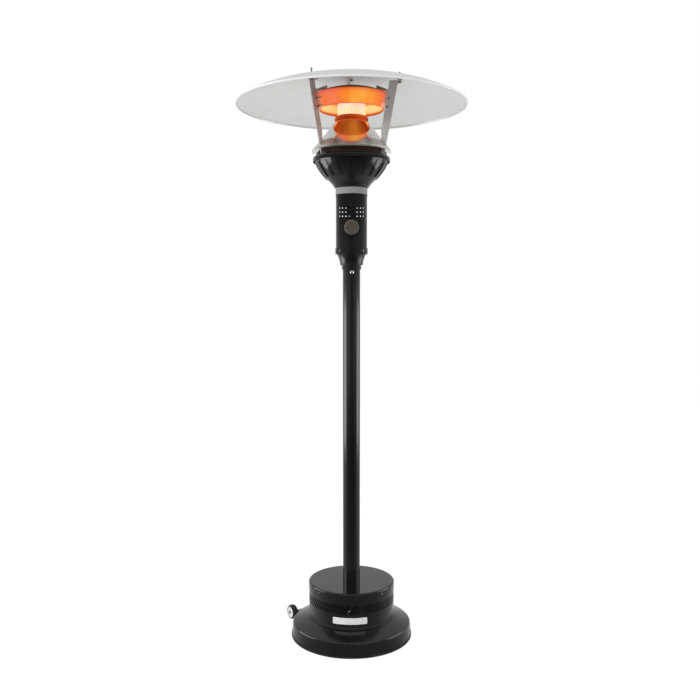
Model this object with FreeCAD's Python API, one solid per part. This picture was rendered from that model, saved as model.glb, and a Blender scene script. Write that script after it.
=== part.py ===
import FreeCAD, Part
import math
import os

os.makedirs("parts", exist_ok=True)
V = FreeCAD.Vector

# Frame: millimetres, +Z up, the floor at Z 0 under the pole's axis, the knob faces -Y

# Clearances
seat_gap = 0.2          # between round pieces that sit in each other
running_gap = 0.05      # radial, for what turns or slides
wheel_side_gap = 0.5    # between a wheel and what stands beside it
front = -90.0           # heading of the knob, in degrees from +X

# Base skirt and its rubber edge
skirt_foot_r = 244.5
skirt_wall = 2.0
skirt_lift = 3.0        # rubber under the sheet's lower edge
skirt_foot_height = 7.0
skirt_lean = 4.0        # the band's top is this much smaller than its foot
skirt_shoulder_z = 59.0
skirt_shoulder_round = 9.0
skirt_top_z = 84.0
skirt_neck_clear = 1.0  # outside the drum's bead
skirt_neck_round = 6.0
skirt_ledge_in = 24.5   # the sheet runs in this far under the drum
trim_wall = 1.8
trim_height = 9.0
trim_round = 3.5
trim_inner_round = 1.0

# Weight in the base
plate_thickness = 4.0
plate_margin = 0.9
ballast_clear = 22.5    # inside the skirt's foot
ballast_bore_r = 80.0
ballast_height = 39.0
ballast_bolt_r = 150.0
ballast_bolts = 4

# Drum and lid
drum_r = 174.0
drum_wall = 1.5
drum_height = 143.0
drum_rim = 12.0         # turned in at the top, under the lid
drum_bead_r = 177.0
drum_bead_height = 5.0
slot_count = 96
slot_width = 4.8
slot_length = 42.0
slot_slant = 30.0
slots_left_out = 0.6     # of their spacing, each side of the seam screw
slot_above_drum_foot = 80.5
lid_wall = 1.2
lid_drop = 32.0
lid_round = 7.0
lid_screw_drop = 17.0
lid_screws = 4
lid_screw_heading = 43.0
drum_plate_width = 138.0
drum_plate_height = 26.0
drum_plate_above_foot = 22.5
drum_plate_heading = -92.1
label_thickness = 0.9
label_corner = 3.0
seam_screw_heading = -93.2
seam_screw_above_foot = 73.5

# Pole and its foot
pole_r = 35.0
pole_wall = 2.0
pole_length = 1540.0
flange_r = 70.0
flange_thickness = 6.0
flange_bolt_r = 55.0
flange_bolts = 4
spigot_wall = 6.5
spigot_height = 76.0
pole_base_screw_height = 45.0
pole_base_screws = 3

# Gas supply
pipe_r = 6.0
pipe_z = 112.0
pipe_set_back = 20.0    # in front of the pole's axis
pipe_bend_r = 26.0
pipe_hole_gap = 2.0
inlet_stub_r = 9.5
inlet_stub_length = 18.0
inlet_bore_r = 5.5
inlet_flats = 27.0
inlet_flange = 7.4
inlet_thread_r = 10.1
inlet_inner_length = 24.5
inlet_nut_height = 6.5

# Transport wheels
axle_heading = 33.0
axle_out = 7.5          # axle's middle outside the skirt's foot
axle_z = 36.0
axle_r = 4.0
axle_half_length = 156.0
wheel_r = 30.0
wheel_width = 24.0
wheel_offset = 138.0    # from the axle's middle to the wheel's middle
tyre_depth = 8.0
hub_dish = 2.0
push_nut_r = 8.0
push_nut_width = 3.0
bracket_wall = 3.0
bracket_low_z = 20.0
bracket_high_z = 44.0
ear_round = 11.0
bracket_bolt_angle = 14.0
bracket_bolts = 2
bracket_root = 12.0     # the ears are drawn this far into the strap, then trimmed

# Joint between pole and head
sleeve_wall = 3.5
sleeve_length = 120.0
sleeve_flange_r = 50.0
sleeve_flange = 3.0
sleeve_screw_r = 42.0
sleeve_screws = 3
pole_bolt_drop = 71.5
pole_bolt_heading = -87.0
collar_wall = 2.4
collar_height = 17.5
collar_screw_z = 8.5
taper_top_r = 58.5
taper_bottom_r = 45.8
taper_waist_r = 50.0
taper_waist_down = 18.0
taper_edge_round = 2.5
taper_height = 44.0
taper_wall = 1.5

# Control housing
floor_wall = 3.0
ring_r = 65.2
ring_height = 24.0
ring_screw_z = 13.0
ring_screws = 4
housing_r = 62.4
housing_wall = 1.5
housing_length = 240.0
grille_columns = 8
grille_rows = 3
grille_pitch_angle = 14.3
grille_pitch_z = 16.2
grille_hole_width = 6.6
grille_hole_height = 6.0
grille_z = 147.6        # lowest row of the front grille, above the housing's floor
grille_back_rise = 8.5
knob_z = 102.0          # knob's axis, above the housing's floor
neck_collar_r = 63.6
neck_collar_wall = 1.0
neck_collar_low = 227.0
neck_flange_z = 262.0
neck_flange_r = 67.2
neck_flange = 1.5
neck_label_angle = 144.0
neck_label_low = 235.5
neck_label_height = 25.5

# Knob and valve
knob_r = 28.3
knob_depth = 17.5
knob_edge = 1.6
knob_travel = 4.0
knob_end_gap = 0.5
knob_face_r = 25.2
knob_face_depth = 1.2
stem_r = 3.0
stem_shoulder_r = 4.2
stem_hole_r = 9.0
stem_in_knob = 11.0
valve_front = 40.0      # valve body's front face, in front of the axis
valve_back = 12.0
valve_half_width = 20.0
valve_above = 20.0
valve_below = 22.0
valve_boss_r = 11.0
valve_boss = 6.0
stem_in_valve = 20.0
cup_r = 8.0
cup_thickness = 1.5
cup_set_back = 1.0      # behind the housing's wall
spring_wire_r = 0.5
spring_coil_r = 5.0
spring_turns = 4
spring_steps = 12
valve_bracket_half = 24.0
valve_bracket_wall = 2.5
valve_bracket_foot = 32.0
tilt_switch_size = V(26.0, 18.0, 30.0)
tilt_switch_z = 40.0
igniter_width = 16.0
igniter_length = 44.0

# Gas and spark lines to the burner
orifice_flats = 17.0
orifice_hex = 12.0
orifice_spud_r = 4.0
orifice_spud = 9.0
venturi_r = 12.5
venturi_wall = 1.5
venturi_start = 4.0     # above the orifice's hexagon
venturi_flange_r = 24.0
venturi_flange = 3.0
lead_r = 1.5
pilot_tube_r = 2.0
lead_hole_gap = 1.0
pilot_x = 8.0
pilot_y = -30.0
probe_x = 30.0
spark_set_back = 24.0

# Burner bowl and lip
bowl_wall = 2.0
bowl_neck_r = 67.5
bowl_flare_r = 79.0
bowl_flare_up = 15.5
bowl_body_r = 92.0
bowl_body_up = 28.5
bowl_belly_r = 122.5
bowl_belly_up = 61.4
bowl_shoulder_r = 144.5
bowl_shoulder_up = 100.5
bowl_neck_round = 4.0
bowl_flange_bore_r = 58.0
petal_count = 18
petal_angle = 13.0
petal_rise = 2.5
petal_low = 38.0        # above the bowl's foot
petal_high = 96.0
bowl_slot_width = 4.6
bowl_slot_low = 40.0
bowl_slot_high = 86.0
bowl_screw_angles = (39.0, 141.0, 219.0, 321.0)
lip_r = 154.0
lip_wall = 2.0
lip_drop = 20.5
lip_round = 10.0
lip_bore_r = 122.0
bowl_rim_r = 138.0      # inner edge of the bowl's turned rim under the lip
lip_height = 121.0      # lip's top, above the bowl's foot
burner_plate_r = 130.0
burner_plate = 2.0

# Collar, cone and burner
collar_r = 116.0
collar_sheet = 1.5
cone_gap = 18.5         # between the lip's top and the cone's rim
cone_rim_r = 157.5
cone_rim_height = 5.0
cone_top_r = 68.5
cone_height = 114.0
cone_wall = 1.2
cone_ledge_r = 56.0
post_slot_gap = 0.6     # beside a post, in the slot that it stands in
burner_floor_r = 66.8
burner_floor = 2.0
screen_r = 66.0
screen_wall = 1.6
screen_height = 11.0
screen_slots = 60
screen_slot_width = 2.4
screen_slot_height = 7.0
cap_r = 66.4
cap_wall = 1.5
cap_side = 7.5
cap_crown = 15.0
cap_shoulder_r = 58.0
cap_shoulder = 13.5
core_r = 55.0
core_wall = 1.2
core_height = 62.0
core_slots = 24
core_slot_width = 2.4
core_slot_height = 40.0

# Emitter pan
emitter_clear = 22.5    # burner cap's crown to the pan's lower edge
emitter_low_r = 127.0
emitter_high_r = 152.0
emitter_height = 55.0
emitter_crown = 35.0
emitter_wall = 1.2

# Posts and brackets
post_headings = (-27.0, 93.0, 213.0)
post_twist = 21.0       # of the strip's width from the radial line
post_wall = 2.5
post_foot_r = 137.0
post_top_r = 183.5
post_height = 279.8
post_foot_width = 12.0
post_kink_height = 90.0
post_kink_width = 30.0
post_top_width = 34.0
foot_tab = 24.0
top_tab_out = 29.0
top_tab_back = 30.0
stud_out = 21.5
stud_back = 17.6
stud_r = 3.0
stud_above_dish = 30.0
stud_hole_gap = 0.6
stud_nut = 8.0
spacer_r = 9.0
spacer_height = 2.6     # from a post's top to the sheet over its stud
bracket_web = 3.0
bracket_tip_r = 111.0
bracket_arm_height = 13.0
bracket_tab_in = 19.0
bracket_tab_out = 5.0
bracket_bolt_r = 2.5
bracket_hole_gap = 0.4
bracket_under_bolt = 8.0    # tab below the lower bolt's middle
bracket_bolt_flats = 8.0
bracket_bolt_head = 3.6
bracket_bolt_nut = 4.0
bracket_bolt_in = 10.0
bracket_bolt_drop = 26.5
bracket_bolt_gap = 31.0
bracket_bolt_tail = 24.0

# Reflector dish
dish_r = 457.0
dish_crown = 100.3
dish_break_r = 330.0    # the flat middle of the dome meets its rounder edge here
dish_break_drop = 48.4
dish_wall = 1.2
hem_height = 7.5
hem_half = 1.9
hem_over_sheet = 0.4
rivet_r = 8.0
rivet_head = 3.0

# Fasteners
small_head_r = 4.5
small_head_height = 2.6
small_shank_r = 2.0
bolt_shank_r = 4.0
bolt_flats = 13.0
bolt_head = 5.3
nut_height = 5.5
pole_bolt_head_r = 7.5
pole_bolt_head_height = 4.0
cross_width = 0.9


# Heights that follow from the sizes above
skirt_foot_z = skirt_lift
skirt_shoulder_r = skirt_foot_r - skirt_lean
skirt_neck_r = drum_bead_r + skirt_neck_clear
skirt_ledge_r = drum_r - skirt_ledge_in
ballast_r = skirt_foot_r - ballast_clear
axle_reach = skirt_foot_r + axle_out
plate_z = trim_height
plate_top = plate_z + plate_thickness
ballast_top = plate_top + ballast_height
flange_top = plate_top + flange_thickness
drum_z = skirt_top_z
drum_top = drum_z + drum_height
lid_top = drum_top + seat_gap + lid_wall
lid_r = drum_r + seat_gap + lid_wall
pole_z = flange_top
pole_top = pole_z + pole_length
floor_z = pole_top + seat_gap
floor_top = floor_z + floor_wall
sleeve_top = floor_top + sleeve_flange
knob_axis_z = floor_z + knob_z
housing_top = floor_top + housing_length
neck_flange_low = floor_z + neck_flange_z
bowl_z = neck_flange_low + neck_flange
lip_z = bowl_z + lip_height
burner_plate_top = lip_z + burner_plate
cone_z = lip_z + cone_gap
cone_top = cone_z + cone_height
burner_floor_top = cone_top + burner_floor
screen_top = burner_floor_top + screen_height
cap_top = screen_top + cap_crown
emitter_z = cap_top + emitter_clear
emitter_rim_z = emitter_z + emitter_height
emitter_top = emitter_rim_z + emitter_crown
post_top = lip_z + post_height
valve_top = knob_axis_z + valve_above
orifice_hex_top = valve_top + orifice_hex
knob_back = housing_r + knob_travel + knob_end_gap
ear_offset = wheel_offset - wheel_width / 2 - wheel_side_gap - bracket_wall


# Shape helpers

def point(r, z):
    return V(r, 0, z)


def heading(degrees):
    return V(math.cos(math.radians(degrees)), math.sin(math.radians(degrees)), 0)


def place_at(r, degrees, z):
    return heading(degrees) * r + V(0, 0, z)


def line(a, b):
    return Part.LineSegment(a, b).toShape()


def arc(a, middle, b):
    return Part.Arc(a, middle, b).toShape()


def spin(face, angle=360):
    return face.revolve(V(0, 0, 0), V(0, 0, 1), angle)


def lathe(*outline):
    """Solid of revolution of a closed outline of (radius, height) points"""
    corners = [point(r, z) for r, z in outline]
    return spin(Part.Face(Part.makePolygon(corners + [corners[0]])))


def rounded_path(corners, radii):
    """Edges through the corners, with each inner corner rounded"""
    edges = []
    start = corners[0]
    for before, corner, after, radius in zip(corners, corners[1:], corners[2:], radii):
        if not radius:
            edges.append(line(start, corner))
            start = corner
            continue
        back = (before - corner).normalize()
        ahead = (after - corner).normalize()
        half = back.getAngle(ahead) / 2
        reach = radius / math.tan(half)
        centre = corner + (back + ahead).normalize() * (radius / math.sin(half))
        middle = centre + (corner - centre).normalize() * radius
        edges.append(line(start, corner + back * reach))
        edges.append(arc(corner + back * reach, middle, corner + ahead * reach))
        start = corner + ahead * reach
    edges.append(line(start, corners[-1]))
    return edges


def spun_sheet(edges, wall, angle=360):
    """Sheet of revolution, the wall laid to the left of the profile's direction"""
    face = Part.Wire(edges).makeOffset2D(wall, 0, True, True).Faces[0]
    if face.BoundBox.XMin < 0:
        box_of_face = face.BoundBox
        low, high = box_of_face.ZMin - 1, box_of_face.ZMax + 1
        far = box_of_face.XMax + 1
        corners = [point(0, low), point(far, low), point(far, high), point(0, high), point(0, low)]
        face = face.common(Part.Face(Part.makePolygon(corners))).Faces[0]
    return spin(face, angle)


def tube(outer_r, inner_r, low, high):
    return lathe((inner_r, low), (outer_r, low), (outer_r, high), (inner_r, high))


def disc(r, low, high):
    return Part.makeCylinder(r, high - low, V(0, 0, low))


def rod(a, b, r):
    return Part.makeCylinder(r, (b - a).Length, a, b - a)


def box(low, high):
    size = high - low
    return Part.makeBox(size.x, size.y, size.z, low)


def turned(shape, degrees):
    return shape.rotated(V(0, 0, 0), V(0, 0, 1), degrees)


def aimed(shape, place, direction):
    """Copy of a shape drawn along +Z, moved to a place and aimed"""
    move = FreeCAD.Placement(place, FreeCAD.Rotation(V(0, 0, 1), direction))
    return shape.transformed(move.toMatrix())


def pipe(path, r):
    wire = Part.Wire(path)
    start = path[0].firstVertex().Point
    ahead = path[0].lastVertex().Point - start
    ring = Part.Wire([Part.makeCircle(r, start, ahead)])
    return wire.makePipeShell([ring], True, False)


def hexagon(flats, low, high):
    reach = flats / 2 / math.cos(math.radians(30))
    corners = [V(reach * math.cos(math.radians(60 * i)), reach * math.sin(math.radians(60 * i)), low)
               for i in range(7)]
    return Part.Face(Part.makePolygon(corners)).extrude(V(0, 0, high - low))


def dome_screw(head_r, head_height, shank_r, shank_length):
    """Screw along +Z, its head's underside at 0, with a cross recess"""
    outline = [
        line(V(0, 0, -shank_length), V(shank_r, 0, -shank_length)),
        line(V(shank_r, 0, -shank_length), V(shank_r, 0, 0)),
        line(V(shank_r, 0, 0), V(head_r, 0, 0)),
        line(V(head_r, 0, 0), V(head_r, 0, head_height / 3)),
        arc(V(head_r, 0, head_height / 3), V(head_r * 0.75, 0, head_height * 0.8), V(0, 0, head_height)),
        line(V(0, 0, head_height), V(0, 0, -shank_length)),
    ]
    screw = spin(Part.Face(Part.Wire(outline)))
    half = head_r * 0.55
    deep = head_height * 0.5
    for size in (V(half, cross_width / 2, 0), V(cross_width / 2, half, 0)):
        screw = screw.cut(box(V(0, 0, deep) - size, size + V(0, 0, head_height + 1)))
    return screw


def hex_bolt(flats, head_height, shank_r, shank_length):
    """Bolt along +Z, its head's underside at 0"""
    head = hexagon(flats, 0, head_height)
    head = head.common(lathe((0, 0), (flats, 0), (flats * 0.56, head_height * 0.8),
                             (flats * 0.48, head_height), (0, head_height)))
    return head.fuse(Part.makeCylinder(shank_r, shank_length + 1, V(0, 0, -shank_length)))


def hex_nut(flats, bore_r, low, high):
    return hexagon(flats, low, high).cut(disc(bore_r, low - 1, high + 1))


def small_screw(shank_length):
    return dome_screw(small_head_r, small_head_height, small_shank_r, shank_length)


def spread(count, first=0.0):
    """Headings of a number of equal steps round the axis"""
    return [first + 360.0 * i / count for i in range(count)]


def circles_at(shape, r, z):
    """Round edges about the axis with a radius, at a height"""
    return [edge for edge in shape.Edges if edge.Curve.TypeId == "Part::GeomCircle"
            and abs(edge.Curve.Radius - r) < 0.01 and abs(edge.Curve.Center.z - z) < 0.01]


# Base

def base_edge_trim():
    inner_r = skirt_foot_r - skirt_wall - seat_gap
    outer_r = skirt_foot_r + seat_gap
    trim = lathe((inner_r - trim_wall, 0), (outer_r + trim_wall, 0), (outer_r + trim_wall, trim_height),
                 (outer_r, trim_height), (outer_r, skirt_lift), (inner_r, skirt_lift),
                 (inner_r, trim_height), (inner_r - trim_wall, trim_height))
    for r, radius in ((outer_r + trim_wall, trim_round), (inner_r - trim_wall, trim_inner_round)):
        trim = trim.makeFillet(radius, circles_at(trim, r, 0))
    return trim


def band_r(z):
    """Outer radius of the skirt's leaning band"""
    low = skirt_foot_z + skirt_foot_height
    lean = (skirt_foot_r - skirt_shoulder_r) / (skirt_shoulder_z - low)
    return skirt_foot_r - lean * (z - low)


def bracket_bolt_headings():
    middle = axle_heading + 90
    return [middle - bracket_bolt_angle + 2 * bracket_bolt_angle * i / (bracket_bolts - 1)
            for i in range(bracket_bolts)]


def bracket_bolt_z():
    return (bracket_low_z + bracket_high_z) / 2


def band_spot(angle, out):
    """Point on a line square to the leaning band at the bracket bolts, a distance outside its face"""
    z = bracket_bolt_z()
    return place_at(band_r(z), angle, z) + band_square(angle) * out


def band_square(angle):
    lean = band_r(0) - band_r(1)
    return (heading(angle) + V(0, 0, lean)).normalize()


def base_skirt():
    corners = [point(skirt_foot_r, skirt_foot_z), point(skirt_foot_r, skirt_foot_z + skirt_foot_height),
               point(skirt_shoulder_r, skirt_shoulder_z), point(skirt_neck_r, skirt_top_z),
               point(skirt_ledge_r, skirt_top_z)]
    skirt = spun_sheet(rounded_path(corners, [0, skirt_shoulder_round, skirt_neck_round]), skirt_wall)
    for angle in bracket_bolt_headings():
        skirt = skirt.cut(rod(band_spot(angle, -20), band_spot(angle, 20), bolt_shank_r + seat_gap))
    return skirt


def base_plate():
    plate = disc(skirt_foot_r - skirt_wall - plate_margin, plate_z, plate_top)
    for r, count in ((flange_bolt_r, flange_bolts), (ballast_bolt_r, ballast_bolts)):
        for angle in spread(count, 45):
            plate = plate.cut(rod(place_at(r, angle, plate_z - 1), place_at(r, angle, plate_top + 1),
                                  bolt_shank_r + seat_gap))
    return plate


def ballast_weight():
    weight = tube(ballast_r, ballast_bore_r, plate_top, ballast_top)
    chamfered = circles_at(weight, ballast_r, ballast_top) + circles_at(weight, ballast_bore_r, ballast_top)
    weight = weight.makeChamfer(4.0, chamfered)
    for angle in spread(ballast_bolts, 45):
        weight = weight.cut(rod(place_at(ballast_bolt_r, angle, plate_top - 1),
                                place_at(ballast_bolt_r, angle, ballast_top + 1),
                                bolt_shank_r + seat_gap))
    return weight


def upright_bolts(r, count, head_z):
    """Bolts down through the base plate with nuts under it"""
    solids = []
    for angle in spread(count, 45):
        end_z = plate_z - nut_height - 1
        bolt = hex_bolt(bolt_flats, bolt_head, bolt_shank_r, head_z - end_z)
        nut = hex_nut(bolt_flats, bolt_shank_r + running_gap, plate_z - nut_height, plate_z)
        solids.append(bolt.translated(place_at(r, angle, head_z)))
        solids.append(nut.translated(place_at(r, angle, 0)))
    return Part.makeCompound(solids)


def slot_headings():
    step = 360.0 / slot_count
    angles = spread(slot_count, front + step / 2)
    return [a for a in angles if abs((a - seam_screw_heading + 180) % 360 - 180) > step * slots_left_out]


def base_drum():
    inner_r = drum_r - drum_wall
    corners = [point(drum_r, drum_z), point(drum_r, drum_top), point(drum_r - drum_rim, drum_top)]
    drum = spun_sheet(rounded_path(corners, [lid_round - lid_wall - seat_gap]), drum_wall)
    slope_top = drum_z + drum_bead_height + drum_bead_r - drum_r
    drum = drum.fuse(lathe((inner_r, drum_z), (drum_bead_r, drum_z), (drum_bead_r, drum_z + drum_bead_height),
                           (drum_r, slope_top), (inner_r, slope_top)))
    middle_z = drum_z + slot_above_drum_foot
    slot = box(V(inner_r - 5, -slot_width / 2, -slot_length / 2), V(drum_r + 5, slot_width / 2, slot_length / 2))
    slot = slot.rotated(V(0, 0, 0), V(1, 0, 0), -slot_slant).translated(V(0, 0, middle_z))
    drum = drum.cut(Part.makeCompound([turned(slot, angle) for angle in slot_headings()]))
    for angle in spread(lid_screws, lid_screw_heading):
        drum = drum.cut(screw_hole(drum_r, angle, lid_top - lid_screw_drop))
    drum = drum.cut(screw_hole(drum_r, seam_screw_heading, drum_z + seam_screw_above_foot))
    inlet = rod(V(0, inner_r - 5, pipe_z), V(0, drum_r + 5, pipe_z), inlet_thread_r + seat_gap)
    return drum.cut(inlet)


def screw_hole(r, angle, z):
    return rod(place_at(r - 15, angle, z), place_at(r + 15, angle, z), small_shank_r + seat_gap)


def drum_lid():
    corners = [point(lid_r, lid_top - lid_drop), point(lid_r, lid_top), point(pole_r + seat_gap, lid_top)]
    lid = spun_sheet(rounded_path(corners, [lid_round]), lid_wall)
    for angle in spread(lid_screws, lid_screw_heading):
        lid = lid.cut(screw_hole(lid_r, angle, lid_top - lid_screw_drop))
    return lid


def side_screws(r, angles, z, length):
    screw = small_screw(length)
    return Part.makeCompound([aimed(screw, place_at(r, a, z), heading(a)) for a in angles])


def bent_label(inner_r, low, high, angle, middle):
    """Thin bare plate bent round a heading, with rounded corners"""
    outer_r = inner_r + label_thickness
    wire = Part.makePolygon([point(inner_r, low), point(outer_r, low), point(outer_r, high),
                             point(inner_r, high), point(inner_r, low)])
    plate = turned(spin(Part.Face(wire), angle), middle - angle / 2)
    corners = [edge for edge in plate.Edges if edge.Curve.TypeId == "Part::GeomLine"
               and abs(edge.Length - label_thickness) < 0.01]
    return plate.makeFillet(label_corner, corners)


def drum_plate():
    inner_r = drum_r + seat_gap
    low = drum_z + drum_plate_above_foot
    angle = math.degrees(drum_plate_width / inner_r)
    return bent_label(inner_r, low, low + drum_plate_height, angle, drum_plate_heading)


# Pole

def pole_flange():
    spigot_r = pole_r - pole_wall - seat_gap
    flange = tube(flange_r, spigot_r - spigot_wall, plate_top, flange_top)
    flange = flange.fuse(tube(spigot_r, spigot_r - spigot_wall, plate_top, flange_top + spigot_height))
    for angle in spread(flange_bolts, 45):
        flange = flange.cut(rod(place_at(flange_bolt_r, angle, plate_top - 1),
                                place_at(flange_bolt_r, angle, flange_top + 1), bolt_shank_r + seat_gap))
    for angle in spread(pole_base_screws, front):
        flange = flange.cut(screw_hole(pole_r, angle, pole_z + pole_base_screw_height))
    return flange


def pole_bolt_z():
    return pole_top - pole_bolt_drop


def pole():
    shell = tube(pole_r, pole_r - pole_wall, pole_z, pole_top)
    shell = shell.cut(rod(V(0, 0, pipe_z), V(0, pole_r + 10, pipe_z), pipe_r + pipe_hole_gap))
    for angle in (pole_bolt_heading, pole_bolt_heading + 180):
        shell = shell.cut(rod(V(0, 0, pole_bolt_z()), place_at(pole_r + 10, angle, pole_bolt_z()),
                              bolt_shank_r + seat_gap))
    for angle in spread(pole_base_screws, front):
        shell = shell.cut(screw_hole(pole_r, angle, pole_z + pole_base_screw_height))
    return shell


def pole_bolts():
    bolt = dome_screw(pole_bolt_head_r, pole_bolt_head_height, bolt_shank_r, pole_wall + sleeve_wall + 3)
    return Part.makeCompound([aimed(bolt, place_at(pole_r, a, pole_bolt_z()), heading(a))
                              for a in (pole_bolt_heading, pole_bolt_heading + 180)])


def head_sleeve():
    outer_r = pole_r - pole_wall - seat_gap
    inner_r = outer_r - sleeve_wall
    sleeve = tube(outer_r, inner_r, floor_top - sleeve_length, floor_top + sleeve_flange)
    sleeve = sleeve.fuse(tube(sleeve_flange_r, inner_r, floor_top, sleeve_top))
    for angle in (pole_bolt_heading, pole_bolt_heading + 180):
        sleeve = sleeve.cut(rod(V(0, 0, pole_bolt_z()), place_at(pole_r + 10, angle, pole_bolt_z()),
                                bolt_shank_r + seat_gap))
    for angle in spread(sleeve_screws, 30):
        sleeve = sleeve.cut(rod(place_at(sleeve_screw_r, angle, floor_z - 1),
                                place_at(sleeve_screw_r, angle, sleeve_top + 1), small_shank_r + seat_gap))
    for x in (-bracket_foot_x(), bracket_foot_x()):
        sleeve = sleeve.cut(rod(V(x, bracket_foot_y(), floor_z - 1), V(x, bracket_foot_y(), sleeve_top + 1),
                                small_shank_r + seat_gap))
    return sleeve


def sleeve_fasteners():
    screw = small_screw(sleeve_flange + floor_wall + 2)
    return Part.makeCompound([screw.translated(place_at(sleeve_screw_r, a, sleeve_top))
                              for a in spread(sleeve_screws, 30)])


def taper_skirt():
    top_z, low, turn_r = floor_z - seat_gap, collar_top(), taper_bottom_r - taper_edge_round
    edge_in = taper_edge_round * math.sqrt(0.5)
    edges = [line(point(pole_r + seat_gap, low), point(turn_r, low)),
             arc(point(turn_r, low), point(turn_r + edge_in, low + taper_edge_round - edge_in),
                 point(taper_bottom_r, low + taper_edge_round)),
             arc(point(taper_bottom_r, low + taper_edge_round), point(taper_waist_r, top_z - taper_waist_down),
                 point(taper_top_r, top_z))]
    skirt = spun_sheet(edges, taper_wall)
    return skirt.cut(disc(taper_top_r + taper_wall, top_z, top_z + taper_wall))


def collar_top():
    return floor_z - seat_gap - taper_height


def pole_collar():
    inner_r = pole_r + seat_gap
    collar = tube(inner_r + collar_wall, inner_r, collar_top() - collar_height, collar_top())
    for angle in (0, 180):
        collar = collar.cut(screw_hole(pole_r, angle, collar_top() - collar_screw_z))
    return collar


def collar_screws():
    outer_r = pole_r + seat_gap + collar_wall
    return side_screws(outer_r, (0, 180), collar_top() - collar_screw_z, collar_wall)


# Gas supply up the pole

def gas_pipe():
    start = V(0, drum_r - inlet_inner_length + 8, pipe_z)
    corner = V(0, -pipe_set_back, pipe_z)
    end = V(0, -pipe_set_back, knob_axis_z - valve_below + 3)
    return pipe(rounded_path([start, corner, end], [pipe_bend_r]), pipe_r)


def gas_inlet_fitting():
    wall_y = drum_r + 0.1
    inner_y = wall_y - inlet_inner_length
    socket_r = pipe_r + seat_gap
    fitting = Part.makeCylinder(inlet_thread_r, inlet_inner_length + 1)
    fitting = fitting.fuse(hexagon(inlet_flats, inlet_inner_length, inlet_inner_length + inlet_flange))
    stub_end = inlet_inner_length + inlet_flange + inlet_stub_length
    fitting = fitting.fuse(disc(inlet_stub_r, inlet_inner_length, stub_end))
    fitting = fitting.cut(disc(inlet_bore_r, -1, stub_end + 1)).cut(disc(socket_r, -1, 10))
    return aimed(fitting, V(0, inner_y, pipe_z), V(0, 1, 0))


def gas_inlet_nut():
    inside_y = math.sqrt((drum_r - drum_wall) ** 2 - (inlet_flats / 2 / math.cos(math.radians(30))) ** 2)
    nut = hex_nut(inlet_flats, inlet_thread_r + running_gap, 0, inlet_nut_height)
    return aimed(nut, V(0, inside_y - inlet_nut_height - 0.1, pipe_z), V(0, 1, 0))


# Transport wheels, drawn with the axle along X and its middle at Y = axle_reach

def in_axle_frame(shape):
    return turned(shape, axle_heading)


def axle_point(x):
    return V(x, axle_reach, axle_z)


def wheel_axle():
    return in_axle_frame(rod(axle_point(-axle_half_length), axle_point(axle_half_length), axle_r))


def axle_push_nuts():
    solids = []
    for side in (-1, 1):
        start = side * (wheel_offset + wheel_width / 2 + wheel_side_gap)
        nut = rod(axle_point(start), axle_point(start + side * push_nut_width), push_nut_r)
        solids.append(nut.cut(rod(axle_point(start - side), axle_point(start + side * 9), axle_r + running_gap)))
    return in_axle_frame(Part.makeCompound(solids))


def wheel_tyre(side):
    half = wheel_width / 2
    rim_r = wheel_r - tyre_depth
    edges = [line(point(rim_r, -half), point(wheel_r - 4, -half)),
             arc(point(wheel_r - 4, -half), point(wheel_r, 0), point(wheel_r - 4, half)),
             line(point(wheel_r - 4, half), point(rim_r, half)), line(point(rim_r, half), point(rim_r, -half))]
    tyre = spin(Part.Face(Part.Wire(edges)))
    return in_axle_frame(aimed(tyre, axle_point(side * wheel_offset), V(1, 0, 0)))


def wheel_hub(side):
    half = wheel_width / 2
    rim_r = wheel_r - tyre_depth - seat_gap / 2
    bore_r = axle_r + running_gap
    hub = lathe((bore_r, -half), (bore_r + 4, -half), (bore_r + 6, -half + hub_dish), (rim_r - 3, -half + hub_dish),
                (rim_r - 2, -half), (rim_r, -half), (rim_r, half), (rim_r - 2, half), (rim_r - 3, half - hub_dish),
                (bore_r + 6, half - hub_dish), (bore_r + 4, half), (bore_r, half))
    return in_axle_frame(aimed(hub, axle_point(side * wheel_offset), V(1, 0, 0)))


def ear(side):
    """Side plate of the wheel bracket, from the skirt out to the axle"""
    x = side * ear_offset
    root_y = math.sqrt(band_r(bracket_low_z) ** 2 - ear_offset ** 2) - bracket_root
    low, high = bracket_low_z, bracket_high_z
    corners = [V(x, root_y, low), V(x, axle_reach, axle_z - ear_round), V(x, axle_reach + ear_round, axle_z - 3),
               V(x, axle_reach + ear_round, axle_z + 3), V(x, axle_reach, axle_z + ear_round),
               V(x, root_y, high), V(x, root_y, low)]
    plate = Part.Face(Part.makePolygon(corners)).extrude(V(side * bracket_wall, 0, 0))
    return plate.cut(rod(axle_point(x - 10), axle_point(x + 10), axle_r + running_gap))


def wheel_bracket():
    gap = seat_gap
    low_r = band_r(bracket_low_z) + gap
    high_r = band_r(bracket_high_z) + gap
    outline = [point(low_r, bracket_low_z), point(low_r + bracket_wall, bracket_low_z),
               point(high_r + bracket_wall, bracket_high_z), point(high_r, bracket_high_z)]
    half_angle = math.degrees(math.asin((ear_offset + bracket_wall) / (low_r + bracket_wall)))
    strap = spin(Part.Face(Part.makePolygon(outline + [outline[0]])), 2 * half_angle)
    strap = turned(strap, 90 - half_angle)
    bracket = strap.fuse([ear(-1), ear(1)])
    inside = lathe((0, bracket_low_z - 20), (band_r(bracket_low_z - 20) + gap, bracket_low_z - 20),
                   (band_r(bracket_high_z + 20) + gap, bracket_high_z + 20), (0, bracket_high_z + 20))
    bracket = in_axle_frame(bracket.cut(inside))
    for angle in bracket_bolt_headings():
        bracket = bracket.cut(rod(band_spot(angle, -20), band_spot(angle, 20), bolt_shank_r + seat_gap))
    return bracket


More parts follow.
